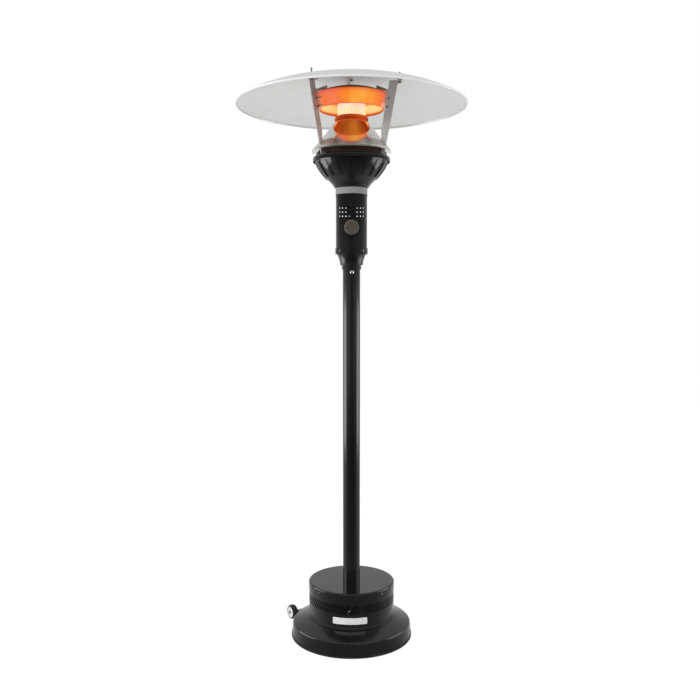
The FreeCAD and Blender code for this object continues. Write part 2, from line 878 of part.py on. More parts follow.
def bracket_fasteners():
    solids = []
    outside = bracket_wall + 1.5 * seat_gap
    inside = -skirt_wall - seat_gap
    for angle in bracket_bolt_headings():
        bolt = hex_bolt(bolt_flats, bolt_head, bolt_shank_r, outside - inside + nut_height + 1)
        nut = hex_nut(bolt_flats, bolt_shank_r + running_gap, -nut_height, 0)
        solids.append(aimed(bolt, band_spot(angle, outside), band_square(angle)))
        solids.append(aimed(nut, band_spot(angle, inside), band_square(angle)))
    return Part.makeCompound(solids)


# Control housing

def housing_base():
    cup = lathe((pole_r - pole_wall + seat_gap / 2, floor_z), (ring_r, floor_z), (ring_r, floor_z + ring_height),
                (housing_r + seat_gap, floor_z + ring_height), (housing_r + seat_gap, floor_top),
                (pole_r - pole_wall + seat_gap / 2, floor_top))
    for angle in spread(ring_screws, 45):
        cup = cup.cut(screw_hole(ring_r, angle, floor_z + ring_screw_z))
    for angle in spread(sleeve_screws, 30):
        cup = cup.cut(rod(place_at(sleeve_screw_r, angle, floor_z - 1),
                          place_at(sleeve_screw_r, angle, floor_top + 1), small_shank_r + seat_gap))
    for x in (-bracket_foot_x(), bracket_foot_x()):
        cup = cup.cut(rod(V(x, bracket_foot_y(), floor_z - 1), V(x, bracket_foot_y(), floor_top + 1),
                          small_shank_r + seat_gap))
    return cup


def grille_holes(middle, lowest):
    """Small windows in rows, cut radially round a heading"""
    half = V(0, grille_hole_width / 2, grille_hole_height / 2)
    holes = []
    for row in range(grille_rows):
        z = floor_z + lowest + row * grille_pitch_z
        hole = box(V(housing_r - 6, 0, z) - half, V(housing_r + 6, 0, z) + half)
        for column in range(grille_columns):
            angle = middle + (column - (grille_columns - 1) / 2) * grille_pitch_angle
            holes.append(turned(hole, angle))
    return holes


def control_housing():
    shell = tube(housing_r, housing_r - housing_wall, floor_top, housing_top)
    holes = grille_holes(front, grille_z) + grille_holes(-front, grille_z + grille_back_rise)
    shell = shell.cut(Part.makeCompound(holes))
    shell = shell.cut(rod(V(0, 0, knob_axis_z), V(0, -housing_r - 5, knob_axis_z), stem_hole_r))
    for angle in spread(ring_screws, 45):
        shell = shell.cut(screw_hole(housing_r, angle, floor_z + ring_screw_z))
    return shell


def neck_collar():
    low = floor_z + neck_collar_low
    inner_r = neck_collar_r - neck_collar_wall
    return lathe((inner_r, low), (neck_collar_r, low), (neck_collar_r, neck_flange_low),
                 (neck_flange_r, neck_flange_low), (neck_flange_r, bowl_z), (inner_r, bowl_z))


def neck_plate():
    low = floor_z + neck_label_low
    return bent_label(neck_collar_r + seat_gap, low, low + neck_label_height, neck_label_angle, front)


# Knob, stem and valve, on an axis along Y

def on_knob_axis(y):
    return V(0, -y, knob_axis_z)


def control_knob():
    knob_front = knob_back + knob_depth
    body = rod(on_knob_axis(knob_back), on_knob_axis(knob_front), knob_r)
    rims = [edge for edge in body.Edges if edge.Curve.TypeId == "Part::GeomCircle"]
    body = body.makeFillet(knob_edge, rims)
    body = body.cut(rod(on_knob_axis(knob_front - knob_face_depth), on_knob_axis(knob_front + 1),
                        knob_face_r + seat_gap / 2))
    return body.cut(rod(on_knob_axis(knob_back - 1), on_knob_axis(knob_back + stem_in_knob + 0.3),
                        stem_r + running_gap))


def knob_face():
    knob_front = knob_back + knob_depth
    return rod(on_knob_axis(knob_front - knob_face_depth), on_knob_axis(knob_front), knob_face_r)


def cup_front():
    return housing_r - housing_wall - cup_set_back


def valve_stem():
    thin = rod(on_knob_axis(valve_front - stem_in_valve), on_knob_axis(knob_back + stem_in_knob), stem_r)
    thick = rod(on_knob_axis(cup_front() + 0.1), on_knob_axis(knob_back), stem_shoulder_r)
    return thin.fuse(thick)


def spring_cup():
    plate = rod(on_knob_axis(cup_front() - cup_thickness), on_knob_axis(cup_front()), cup_r)
    return plate.cut(rod(on_knob_axis(0), on_knob_axis(housing_r), stem_r + running_gap))


def return_spring():
    """Coil swept along short straight runs, which keeps its mesh light"""
    start = valve_front + valve_boss + spring_wire_r + 0.1
    length = cup_front() - cup_thickness - spring_wire_r - 0.1 - start
    steps = spring_turns * spring_steps
    corners = []
    for i in range(steps + 1):
        angle = 2 * math.pi * i / spring_steps
        corners.append(V(spring_coil_r * math.cos(angle), spring_coil_r * math.sin(angle), length * i / steps))
    section = Part.Wire([Part.makeCircle(spring_wire_r, corners[0], corners[1] - corners[0])])
    coil = Part.makePolygon(corners).makePipeShell([section], True, False, 1)
    return aimed(coil, on_knob_axis(start), V(0, -1, 0))


def gas_valve():
    low = V(-valve_half_width, -valve_front, knob_axis_z - valve_below)
    high = V(valve_half_width, valve_back, valve_top)
    body = box(low, high)
    body = body.makeFillet(4.0, [e for e in body.Edges if abs(e.tangentAt(e.FirstParameter).y) > 0.9])
    body = body.fuse(rod(on_knob_axis(valve_front - 1), on_knob_axis(valve_front + valve_boss), valve_boss_r))
    inlet_low = knob_axis_z - valve_below - 6
    inlet = Part.makeCylinder(pipe_r + 4, 8, V(0, -pipe_set_back, inlet_low))
    body = body.fuse(inlet)
    body = body.cut(Part.makeCylinder(pipe_r + seat_gap, 11, V(0, -pipe_set_back, inlet_low - 1)))
    stem_end = valve_front - stem_in_valve - knob_travel - knob_end_gap
    return body.cut(rod(on_knob_axis(stem_end), on_knob_axis(valve_front + valve_boss + 1), stem_r + running_gap))


def bracket_foot_x():
    return valve_bracket_half - 8


def bracket_foot_y():
    return valve_back + seat_gap + valve_bracket_foot - 5


def valve_bracket():
    y = valve_back
    wall = valve_bracket_wall
    upright = box(V(-valve_bracket_half, y, sleeve_top), V(valve_bracket_half, y + wall, valve_top + 4))
    foot = box(V(-valve_bracket_half, y, sleeve_top), V(valve_bracket_half, y + valve_bracket_foot, sleeve_top + wall))
    bracket = upright.fuse(foot)
    for x in (-bracket_foot_x(), bracket_foot_x()):
        bracket = bracket.cut(rod(V(x, bracket_foot_y(), sleeve_top - 1), V(x, bracket_foot_y(), sleeve_top + 9),
                                  small_shank_r + seat_gap))
    return bracket


def valve_bracket_screws():
    screw = small_screw(valve_bracket_wall + sleeve_flange + floor_wall + 1)
    top_z = sleeve_top + valve_bracket_wall
    return Part.makeCompound([screw.translated(V(x, bracket_foot_y(), top_z))
                              for x in (-bracket_foot_x(), bracket_foot_x())])


def tilt_switch():
    low = V(-tilt_switch_size.x / 2, valve_back + valve_bracket_wall, sleeve_top + tilt_switch_z)
    case = box(low, low + tilt_switch_size)
    return case.makeFillet(2.0, [e for e in case.Edges if abs(e.tangentAt(e.FirstParameter).y) > 0.9])


def igniter_x():
    return -(valve_half_width + igniter_width / 2)


def igniter_module():
    half = V(igniter_width / 2, 0, igniter_width / 2)
    start = V(igniter_x(), -valve_front, knob_axis_z)
    end = start + V(0, igniter_length, 0)
    case = box(start - half, end + half)
    case = case.makeFillet(2.0, [e for e in case.Edges if abs(e.tangentAt(e.FirstParameter).y) > 0.9])
    return case.fuse(rod(end - V(0, 1, 0), end + V(0, 5, 0), lead_r + 1))


def gas_orifice():
    stem = hexagon(orifice_flats, valve_top, orifice_hex_top)
    stem = stem.fuse(disc(orifice_spud_r, orifice_hex_top, orifice_hex_top + orifice_spud))
    return stem.cut(disc(1.2, valve_top - 1, orifice_hex_top + orifice_spud + 1))


# Lines up to the burner

def lead_points():
    """Where the pilot tube, the probe's lead and the spark wire stand, with the hole radius of each"""
    return [(V(pilot_x, pilot_y, 0), pilot_tube_r), (V(probe_x, 0, 0), lead_r),
            (V(igniter_x(), spark_set_back, 0), lead_r)]


def cut_for_leads(shape, low, high):
    for spot, r in lead_points():
        shape = shape.cut(rod(spot + V(0, 0, low), spot + V(0, 0, high), r + lead_hole_gap))
    return shape


def pilot_tube():
    start = V(pilot_x, pilot_y, valve_top)
    return rod(start, V(pilot_x, pilot_y, burner_floor_top), pilot_tube_r)


def probe_lead():
    z = valve_top - 8
    corners = [V(valve_half_width, 0, z), V(probe_x, 0, z), V(probe_x, 0, burner_floor_top)]
    return pipe(rounded_path(corners, [6.0]), lead_r)


def spark_wire():
    start = V(igniter_x(), igniter_length - valve_front + 5, knob_axis_z)
    corners = [start, V(igniter_x(), spark_set_back, knob_axis_z),
               V(igniter_x(), spark_set_back, cone_top)]
    return pipe(rounded_path(corners, [8.0]), lead_r)


def pilot_burner():
    spot = V(pilot_x, pilot_y, burner_floor_top)
    body = rod(spot, spot + V(0, 0, 9), 5.0)
    return body.fuse(rod(spot + V(0, 0, 9), spot + V(0, 0, 12), 3.0))


def heat_probe():
    spot = V(probe_x, 0, burner_floor_top)
    body = rod(spot, spot + V(0, 0, 6), 4.0)
    return body.fuse(rod(spot + V(0, 0, 6), spot + V(0, 0, 14), 2.0))


def spark_electrode():
    spot = V(igniter_x(), spark_set_back, cone_top)
    sheath = rod(spot, spot + V(0, 0, burner_floor + 10), lead_r + lead_hole_gap - seat_gap)
    return sheath.fuse(rod(spot + V(0, 0, burner_floor + 10), spot + V(0, 0, burner_floor + 14), 0.9))


def venturi_tube():
    low = orifice_hex_top + venturi_start
    inner_r = venturi_r - venturi_wall
    mixer = tube(venturi_r, inner_r, low, burner_floor_top)
    mixer = mixer.fuse(tube(venturi_flange_r, inner_r, burner_plate_top, burner_plate_top + venturi_flange))
    window = box(V(inner_r - 3, -3, low + 8), V(venturi_r + 3, 3, low + 26))
    for angle in spread(4, 45):
        mixer = mixer.cut(turned(window, angle))
    return mixer


# Burner bowl

def bowl_corners():
    """Outer line of the bowl: its neck, the flare, the round body and the straight top"""
    return {"neck": point(bowl_neck_r, bowl_z), "flare": point(bowl_flare_r, bowl_z + bowl_flare_up),
            "body": point(bowl_body_r, bowl_z + bowl_body_up),
            "belly": point(bowl_belly_r, bowl_z + bowl_belly_up),
            "shoulder": point(bowl_shoulder_r, bowl_z + bowl_shoulder_up),
            "edge": point(lip_r - lip_wall - 1.5 * seat_gap, lip_z - lip_wall),
            "rim": point(bowl_rim_r, lip_z - lip_wall)}


def bowl_arc():
    c = bowl_corners()
    return arc(c["body"], c["belly"], c["shoulder"])


def bowl_r(z):
    """Outer radius of the round body at a height"""
    circle = bowl_arc().Curve
    centre = circle.Center
    return centre.x + math.sqrt(circle.Radius ** 2 - (z - centre.z) ** 2)


def bowl_body_line(low, high, gap):
    """The round body's line between two heights above the foot, moved inwards by a gap"""
    z0, z1, z2 = bowl_z + low, bowl_z + (low + high) / 2, bowl_z + high
    return [arc(point(bowl_r(z0) - gap, z0), point(bowl_r(z1) - gap, z1), point(bowl_r(z2) - gap, z2))]


def burner_bowl():
    c = bowl_corners()
    floor_start = point(bowl_flange_bore_r, bowl_z)
    edges = rounded_path([floor_start, c["neck"], c["flare"], c["body"]], [bowl_neck_round, 0])
    edges += [bowl_arc()]
    edges += rounded_path([c["shoulder"], c["edge"], c["rim"]], [lip_round - lip_wall + 0.5])
    bowl = spun_sheet(edges, bowl_wall)
    petal = spun_sheet(bowl_body_line(petal_low, petal_high, bowl_wall / 2),
                       -(bowl_wall / 2 + petal_rise), petal_angle)
    petal = turned(petal, -petal_angle / 2)
    step = 360.0 / petal_count
    bowl = bowl.fuse([turned(petal, angle) for angle in spread(petal_count, front + step / 2)])
    slot = box(V(bowl_body_r, -bowl_slot_width / 2, bowl_z + bowl_slot_low),
               V(lip_r, bowl_slot_width / 2, bowl_z + bowl_slot_high))
    bowl = bowl.cut(Part.makeCompound([turned(slot, angle) for angle in spread(petal_count, front)]))
    hole = Part.makeCylinder(small_shank_r + seat_gap, 20, V(0, 0, -10))
    for spot, direction in bowl_screw_spots():
        bowl = bowl.cut(aimed(hole, spot, direction))
    return bowl


def bowl_screw_spots():
    """Points on the flare and the directions square to it"""
    c = bowl_corners()
    along = c["flare"] - c["neck"]
    middle = c["neck"] + along * 0.45
    outward = V(along.z, 0, -along.x).normalize()
    spots = []
    for angle in bowl_screw_angles:
        spots.append((heading(front + angle) * middle.x + V(0, 0, middle.z),
                      heading(front + angle) * outward.x + V(0, 0, outward.z)))
    return spots


def bowl_screws():
    solids = []
    for spot, direction in bowl_screw_spots():
        solids.append(aimed(small_screw(bowl_wall + 5), spot + direction * seat_gap, direction))
        nut = hex_nut(7.0, small_shank_r + running_gap, -3.2, 0)
        solids.append(aimed(nut, spot - direction * (bowl_wall + seat_gap), direction))
    return Part.makeCompound(solids)


def bowl_lip():
    corners = [point(lip_r, lip_z - lip_drop), point(lip_r, lip_z), point(lip_bore_r, lip_z)]
    lip = spun_sheet(rounded_path(corners, [lip_round]), lip_wall)
    return lip.cut(Part.makeCompound([turned(post_foot_hole(), angle) for angle in post_headings]))


def burner_plate_disc():
    plate = disc(burner_plate_r, lip_z, burner_plate_top)
    plate = plate.cut(disc(venturi_r + seat_gap, lip_z - 1, burner_plate_top + 1))
    plate = plate.cut(Part.makeCompound([turned(foot_tab_shape(1.0), angle) for angle in post_headings]))
    return cut_for_leads(plate, lip_z - 1, burner_plate_top + 1)


# Collar, cone, burner and emitter

def cone_r(z):
    """Outer radius of the cone at a height"""
    low = cone_z + cone_rim_height
    return cone_rim_r + (cone_top_r - cone_rim_r) * (z - low) / (cone_top - low)


def cone_inside_z(r):
    """Height of the cone's inner face over a radius"""
    low = cone_z + cone_rim_height
    slope = (cone_top - low) / (cone_rim_r - cone_top_r)
    return low + (cone_rim_r - r) * slope - cone_wall * math.sqrt(1 + slope ** 2)


def heat_collar():
    return tube(collar_r, collar_r - collar_sheet, burner_plate_top, cone_inside_z(collar_r) - seat_gap)


def deflector_cone():
    corners = [point(cone_rim_r, cone_z), point(cone_rim_r, cone_z + cone_rim_height),
               point(cone_top_r, cone_top), point(cone_ledge_r, cone_top)]
    cone = spun_sheet(rounded_path(corners, [0, 2.5]), cone_wall)
    return cone.cut(Part.makeCompound([turned(post_slot(), angle) for angle in post_headings]))


def burner_floor_disc():
    floor = disc(burner_floor_r, cone_top, burner_floor_top)
    floor = floor.cut(disc(venturi_r + seat_gap, cone_top - 1, burner_floor_top + 1))
    return cut_for_leads(floor, cone_top - 1, burner_floor_top + 1)


def burner_screen():
    ring = tube(screen_r, screen_r - screen_wall, burner_floor_top, screen_top)
    middle = (burner_floor_top + screen_top) / 2
    half = V(0, screen_slot_width / 2, screen_slot_height / 2)
    slot = box(V(screen_r - 5, 0, middle) - half, V(screen_r + 5, 0, middle) + half)
    return ring.cut(Part.makeCompound([turned(slot, angle) for angle in spread(screen_slots)]))


def burner_cap():
    corners = [point(cap_r, screen_top), point(cap_r, screen_top + cap_side),
               point(cap_shoulder_r, screen_top + cap_shoulder), point(0, cap_top)]
    return spun_sheet(rounded_path(corners, [3.0, 6.0]), cap_wall)


def cap_z(r):
    """Height of the cap's outer face over a radius inside its shoulder"""
    low = screen_top + cap_shoulder
    return cap_top + (low - cap_top) * r / cap_shoulder_r


def emitter_core():
    low = cap_z(core_r - core_wall) + seat_gap
    corners = [point(core_r, low), point(core_r, low + core_height), point(0, low + core_height + 6)]
    core = spun_sheet(rounded_path(corners, [8.0]), core_wall)
    middle = low + core_height * 0.45
    half = V(0, core_slot_width / 2, core_slot_height / 2)
    slot = box(V(core_r - 5, 0, middle) - half, V(core_r + 5, 0, middle) + half)
    return core.cut(Part.makeCompound([turned(slot, angle) for angle in spread(core_slots)]))


def dome_z(r, rim_r, rim_z, crown):
    """Height of a shallow round dome over a radius"""
    ball_r = (rim_r ** 2 + crown ** 2) / (2 * crown)
    return rim_z + crown - ball_r + math.sqrt(ball_r ** 2 - r ** 2)


def emitter_dome_z(r):
    return dome_z(r, emitter_high_r, emitter_rim_z, emitter_crown)


def emitter_pan():
    side = line(point(emitter_low_r, emitter_z), point(emitter_high_r, emitter_rim_z))
    middle_r = emitter_high_r / 2
    dome = arc(point(emitter_high_r, emitter_rim_z), point(middle_r, emitter_dome_z(middle_r)),
               point(0, emitter_top))
    return spun_sheet([side, dome], emitter_wall)


# Posts, drawn on the heading +X and turned to their places
# A post is a flat strip, its width turned by post_twist from the radial line

strip_along = heading(post_twist)
strip_across = heading(post_twist + 90)
strip_square = V((post_top_r - post_foot_r) / post_height, 0, 1).cross(strip_along).normalize()
strip_share = strip_across.dot(strip_square)    # of a wall drawn along strip_across, square to the plate


def post_line_r(z):
    """Distance of the strip's middle line from the axis at a height"""
    return post_foot_r + (post_top_r - post_foot_r) * (z - lip_z) / post_height


def strip_point(along, across, z):
    return V(post_line_r(z), 0, z) + strip_along * along + strip_across * across


def strip_plate(outline, across, thickness):
    """Plate parallel to the strip, from (along, height) corners"""
    corners = [strip_point(along, across, z) for along, z in outline]
    return Part.Face(Part.makePolygon(corners + [corners[0]])).extrude(strip_across * thickness)


def foot_tab_shape(margin):
    """Foot of a post on the lip, or the room for it with a margin"""
    half = post_foot_width / 2 + 1 + margin
    centre = strip_point(0, 0, lip_z)
    corners = [centre - strip_along * half - strip_across * (post_wall / 2 + margin),
               centre + strip_along * half - strip_across * (post_wall / 2 + margin),
               centre + strip_along * half + strip_across * (foot_tab + margin),
               centre - strip_along * half + strip_across * (foot_tab + margin)]
    return Part.Face(Part.makePolygon(corners + [corners[0]])).extrude(V(0, 0, post_wall))


def foot_screw_spot():
    return strip_point(0, foot_tab * 0.55, lip_z)


def post_foot_hole():
    spot = foot_screw_spot()
    return rod(spot - V(0, 0, 10), spot + V(0, 0, 10), small_shank_r + seat_gap)


def stud_spot():
    return strip_point(stud_out, stud_back, post_top)


def bracket_bolt_spots():
    """Points in the strip's middle plane where the bracket is bolted"""
    high = emitter_rim_z - bracket_bolt_drop
    return [strip_point(-bracket_bolt_in, 0, high), strip_point(-bracket_bolt_in, 0, high - bracket_bolt_gap)]


def bolt_row(r):
    reach = strip_square * (post_wall + bracket_web)
    return [rod(spot - reach, spot + reach, r) for spot in bracket_bolt_spots()]


def post_slot():
    """Room for a post in the cone, open at the cone's rim"""
    slope = (cone_top - cone_z - cone_rim_height) / (cone_rim_r - cone_top_r)
    inner = post_foot_width / 2 + 1
    high = cone_z + cone_rim_height + (cone_rim_r - post_foot_r + inner) * slope
    outline = [(-inner * 2.3, cone_z - 1), (cone_rim_r - post_foot_r + inner, cone_z - 1),
               (cone_rim_r - post_foot_r + inner, high), (-inner * 2.3, high)]
    return strip_plate(outline, -post_wall / 2 - post_slot_gap, post_wall + 2 * post_slot_gap)


def dish_post(angle):
    foot = post_foot_width / 2
    top = post_top_width / 2
    kink_z = lip_z + post_kink_height
    kink = foot + (top - foot) * post_kink_height / post_height
    outline = [(-foot, lip_z), (foot, lip_z), (top, post_top), (-top, post_top), (kink - post_kink_width, kink_z)]
    strip = strip_plate(outline, -post_wall / 2, post_wall)
    end = strip_point(0, 0, post_top)
    flange = [end - strip_along * 12 - strip_across * (post_wall / 2),
              end + strip_along * top_tab_out - strip_across * (post_wall / 2),
              end + strip_along * top_tab_out + strip_across * top_tab_back,
              end - strip_along * 12 + strip_across * top_tab_back]
    flange = Part.Face(Part.makePolygon(flange + [flange[0]])).extrude(V(0, 0, -post_wall))
    flange = flange.makeFillet(8.0, [e for e in flange.Edges if abs(e.tangentAt(e.FirstParameter).z) > 0.9
                                     and (e.Vertexes[0].Point - end).dot(strip_across) > 5])
    post = strip.fuse([foot_tab_shape(0), flange])
    spot = stud_spot()
    post = post.cut(rod(spot - V(0, 0, 20), spot + V(0, 0, 20), stud_r + running_gap))
    post = post.cut(post_foot_hole())
    post = post.cut(Part.makeCompound(bolt_row(bracket_bolt_r + bracket_hole_gap)))
    return turned(post, angle)


def post_foot_screws():
    screw = small_screw(post_wall + lip_wall + 3)
    head_spot = foot_screw_spot() + V(0, 0, post_wall)
    return Part.makeCompound([turned(screw.translated(head_spot), angle) for angle in post_headings])


def emitter_bracket(angle):
    """Bent plate: a tab bolted to the post's strip and a web that runs in over the pan's edge"""
    gap = seat_gap + 0.1
    low_z = emitter_z - 4
    high_z = emitter_rim_z + 9
    lean = (emitter_high_r - emitter_low_r) / emitter_height
    across = post_wall / 2 + bracket_web / 2
    bend = strip_point(-bracket_tab_in, across, low_z)
    bend_high = strip_point(-bracket_tab_in, across, high_z)
    over_r = emitter_high_r * 0.9
    inner = [point(bracket_tip_r, emitter_dome_z(bracket_tip_r) + gap),
             point(over_r, emitter_dome_z(over_r) + gap + 0.6),
             point(emitter_high_r + 0.8, emitter_rim_z + 1.6),
             point(emitter_high_r + 0.8, emitter_rim_z - 1.0),
             point(emitter_low_r + 0.8 + lean * 4, emitter_z + 4),
             point(emitter_low_r + 0.8, low_z)]
    outer = [point(bend.x, low_z), point(bend_high.x, high_z),
             point(bracket_tip_r, emitter_dome_z(bracket_tip_r) + bracket_arm_height)]
    corners = [p + V(0, bend.y - bracket_web / 2, 0) for p in inner + outer]
    web = Part.Face(Part.makePolygon(corners + [corners[0]])).extrude(V(0, bracket_web, 0))
    tab_low = bracket_bolt_spots()[1].z - bracket_under_bolt
    tab = strip_plate([(-bracket_tab_in - 0.5, tab_low), (bracket_tab_out, tab_low),
                       (bracket_tab_out, high_z), (-bracket_tab_in - 0.5, high_z)],
                      post_wall / 2, bracket_web)
    bracket = web.fuse(tab)
    return turned(bracket.cut(Part.makeCompound(bolt_row(bracket_bolt_r + bracket_hole_gap))), angle)


def bracket_bolts_on_posts():
    solids = []
    bolt = hex_bolt(bracket_bolt_flats, bracket_bolt_head, bracket_bolt_r, post_wall + bracket_web + bracket_bolt_tail)
    nut = hex_nut(bracket_bolt_flats, bracket_bolt_r + running_gap, -bracket_bolt_nut, 0)
    for angle in post_headings:
        for spot in bracket_bolt_spots():
            head = spot - strip_square * (strip_share * post_wall / 2)
            back = spot + strip_square * (strip_share * (post_wall / 2 + bracket_web))
            solids.append(turned(aimed(bolt, head, strip_square * -1), angle))
            solids.append(turned(aimed(nut, back, strip_square * -1), angle))
    return Part.makeCompound(solids)


# Reflector dish

def dish_middle_ball_r():
    return (dish_break_r ** 2 + dish_break_drop ** 2) / (2 * dish_break_drop)


def dish_edge_ball():
    """Slope at the break, and the radius of the arc that goes on from there to the rim at that slope"""
    slope = math.asin(dish_break_r / dish_middle_ball_r())
    chord = math.atan2(dish_crown - dish_break_drop, dish_r - dish_break_r)
    return slope, (dish_r - dish_break_r) / (math.sin(2 * chord - slope) - math.sin(slope))


def dish_drop(r):
    """How far the dish's outer face lies under its crown at a radius"""
    ball_r = dish_middle_ball_r()
    if r <= dish_break_r:
        return ball_r - math.sqrt(ball_r ** 2 - r ** 2)
    slope, edge_ball_r = dish_edge_ball()
    here = math.asin(math.sin(slope) + (r - dish_break_r) / edge_ball_r)
    return dish_break_drop + edge_ball_r * (math.cos(slope) - math.cos(here))


def dish_z(r):
    """The dish is set so that its sheet clears the spacers on the posts"""
    far_r = V(stud_spot().x, stud_spot().y, 0).Length + spacer_r
    return post_top + spacer_height + dish_wall + 0.2 + dish_drop(far_r) - dish_drop(r)


def reflector_dish():
    edge_r = dish_r - hem_half
    edge_middle_r, middle_r = (edge_r + dish_break_r) / 2, dish_break_r / 2
    at_break = point(dish_break_r, dish_z(dish_break_r))
    edge = arc(point(edge_r, dish_z(edge_r)), point(edge_middle_r, dish_z(edge_middle_r)), at_break)
    middle = arc(at_break, point(middle_r, dish_z(middle_r)), point(0, dish_z(0)))
    sheet = spun_sheet([edge, middle], dish_wall)
    high = dish_z(edge_r) + hem_over_sheet
    low = high - hem_height
    hem = [line(point(dish_r, low + hem_half), point(dish_r, high - hem_half)),
           arc(point(dish_r, high - hem_half), point(edge_r, high), point(dish_r - 2 * hem_half, high - hem_half)),
           line(point(dish_r - 2 * hem_half, high - hem_half), point(dish_r - 2 * hem_half, low + hem_half)),
           arc(point(dish_r - 2 * hem_half, low + hem_half), point(edge_r, low), point(dish_r, low + hem_half))]
    dish = sheet.fuse(spin(Part.Face(Part.Wire(hem))))
    for angle in post_headings:
        spot = turned(rod(stud_spot() - V(0, 0, 30), stud_spot() + V(0, 0, 60), stud_r + stud_hole_gap), angle)
        dish = dish.cut(spot)
    return dish.cut(disc(rivet_r / 2 + seat_gap, dish_z(0) - 20, dish_z(0) + 20))


def crown_rivet():
    shank_low = dish_z(0) - dish_wall - 0.4
    shank_high = dish_z(0) + 0.2
    shank = disc(rivet_r / 2, shank_low - 1, shank_high + 1)
    below = lathe((0, shank_low - rivet_head), (rivet_r * 0.7, shank_low - rivet_head * 0.8),
                  (rivet_r, shank_low - 0.5), (rivet_r, shank_low), (0, shank_low))
    above = lathe((0, shank_high), (rivet_r, shank_high), (rivet_r, shank_high + 0.5),
                  (rivet_r * 0.7, shank_high + rivet_head * 0.8), (0, shank_high + rivet_head))
    return shank.fuse([below, above])


def dish_studs():
    solids = []
    stud_r_from_axis = V(stud_spot().x, stud_spot().y, 0).Length
    nut_low = dish_z(stud_r_from_axis - 8) + 0.2
    for angle in post_headings:
        spot = turned(Part.Vertex(stud_spot()), angle).Point
        low = V(spot.x, spot.y, post_top - post_wall)
        high = V(spot.x, spot.y, dish_z(stud_r_from_axis) + stud_above_dish)
        head = aimed(hexagon(bolt_flats, -bolt_head, 0), low, V(0, 0, 1))
        solids.append(rod(low, high, stud_r).fuse(head))
        spacer = disc(spacer_r, post_top, post_top + spacer_height)
        spacer = spacer.cut(disc(stud_r + running_gap, post_top - 1, post_top + spacer_height + 1))
        solids.append(spacer.translated(V(spot.x, spot.y, 0)))
        nut = hexagon(bolt_flats, nut_low, nut_low + stud_nut)
        nut = nut.cut(disc(stud_r + running_gap, nut_low - 1, nut_low + stud_nut + 1))
        solids.append(nut.translated(V(spot.x, spot.y, 0)))
    return Part.makeCompound(solids)


def together(*shapes):
    """One node of several separate solids"""
    return Part.makeCompound([solid for shape in shapes for solid in shape.Solids])


def each_post(make):
    return together(*[make(angle) for angle in post_headings])


def base_bolts():
    return together(upright_bolts(ballast_bolt_r, ballast_bolts, ballast_top),
                    upright_bolts(flange_bolt_r, flange_bolts, flange_top), bracket_fasteners())


def drum_screws():
    return together(side_screws(lid_r, spread(lid_screws, lid_screw_heading), lid_top - lid_screw_drop, 8),
                    side_screws(drum_r, [seam_screw_heading], drum_z + seam_screw_above_foot, 6),
                    side_screws(pole_r, spread(pole_base_screws, front), pole_z + pole_base_screw_height, 7))


def head_screws():
    return together(side_screws(ring_r, spread(ring_screws, 45), floor_z + ring_screw_z, 7),
                    sleeve_fasteners(), valve_bracket_screws(), collar_screws())


nodes = {
    "base_edge_trim": base_edge_trim(),
    "base_skirt": base_skirt(),
    "base_plate": base_plate(),
    "ballast_weight": ballast_weight(),
    "base_bolts": base_bolts(),
    "base_drum": base_drum(),
    "drum_plate": drum_plate(),
    "drum_lid": drum_lid(),
    "drum_screws": drum_screws(),
    "pole_flange": pole_flange(),
    "pole": pole(),
    "pole_bolts": pole_bolts(),
    "pole_collar": pole_collar(),
    "taper_skirt": taper_skirt(),
    "gas_inlet": together(gas_inlet_fitting(), gas_inlet_nut()),
    "gas_pipe": gas_pipe(),
    "wheel_bracket": wheel_bracket(),
    "wheel_axle": wheel_axle(),
    "axle_push_nuts": axle_push_nuts(),
    "wheel_tyre_left": wheel_tyre(-1),
    "wheel_hub_left": wheel_hub(-1),
    "wheel_tyre_right": wheel_tyre(1),
    "wheel_hub_right": wheel_hub(1),
    "head_sleeve": head_sleeve(),
    "head_screws": head_screws(),
    "housing_base": housing_base(),
    "control_housing": control_housing(),
    "neck_collar": neck_collar(),
    "neck_plate": neck_plate(),
    "control_knob": control_knob(),
    "knob_face": knob_face(),
    "valve_stem": valve_stem(),
    "spring_cup": spring_cup(),
    "return_spring": return_spring(),
    "gas_valve": gas_valve(),
    "valve_bracket": valve_bracket(),
    "tilt_switch": tilt_switch(),
    "igniter_module": igniter_module(),
    "spark_wire": spark_wire().fuse(spark_electrode()),
    "gas_orifice": gas_orifice(),
    "venturi_tube": venturi_tube(),
    "pilot_burner": pilot_tube().fuse(pilot_burner()),
    "heat_probe": probe_lead().fuse(heat_probe()),
    "burner_bowl": burner_bowl(),
    "burner_screws": together(bowl_screws(), post_foot_screws()),
    "bowl_lip": bowl_lip(),
    "burner_plate": burner_plate_disc(),
    "heat_collar": heat_collar(),
    "deflector_cone": deflector_cone(),
    "burner_floor": burner_floor_disc(),
    "burner_screen": burner_screen(),
    "burner_cap": burner_cap(),
    "emitter_core": emitter_core(),
    "emitter_pan": emitter_pan(),
    "dish_posts": each_post(dish_post),
    "emitter_brackets": each_post(emitter_bracket),
    "bracket_bolts": bracket_bolts_on_posts(),
    "reflector_dish": reflector_dish(),
    "crown_rivet": crown_rivet(),
    "dish_studs": dish_studs(),
}
for name, shape in nodes.items():
    shape.exportStep("parts/%s.step" % name)
print(len(nodes), "files, top at", round(dish_z(0), 1))
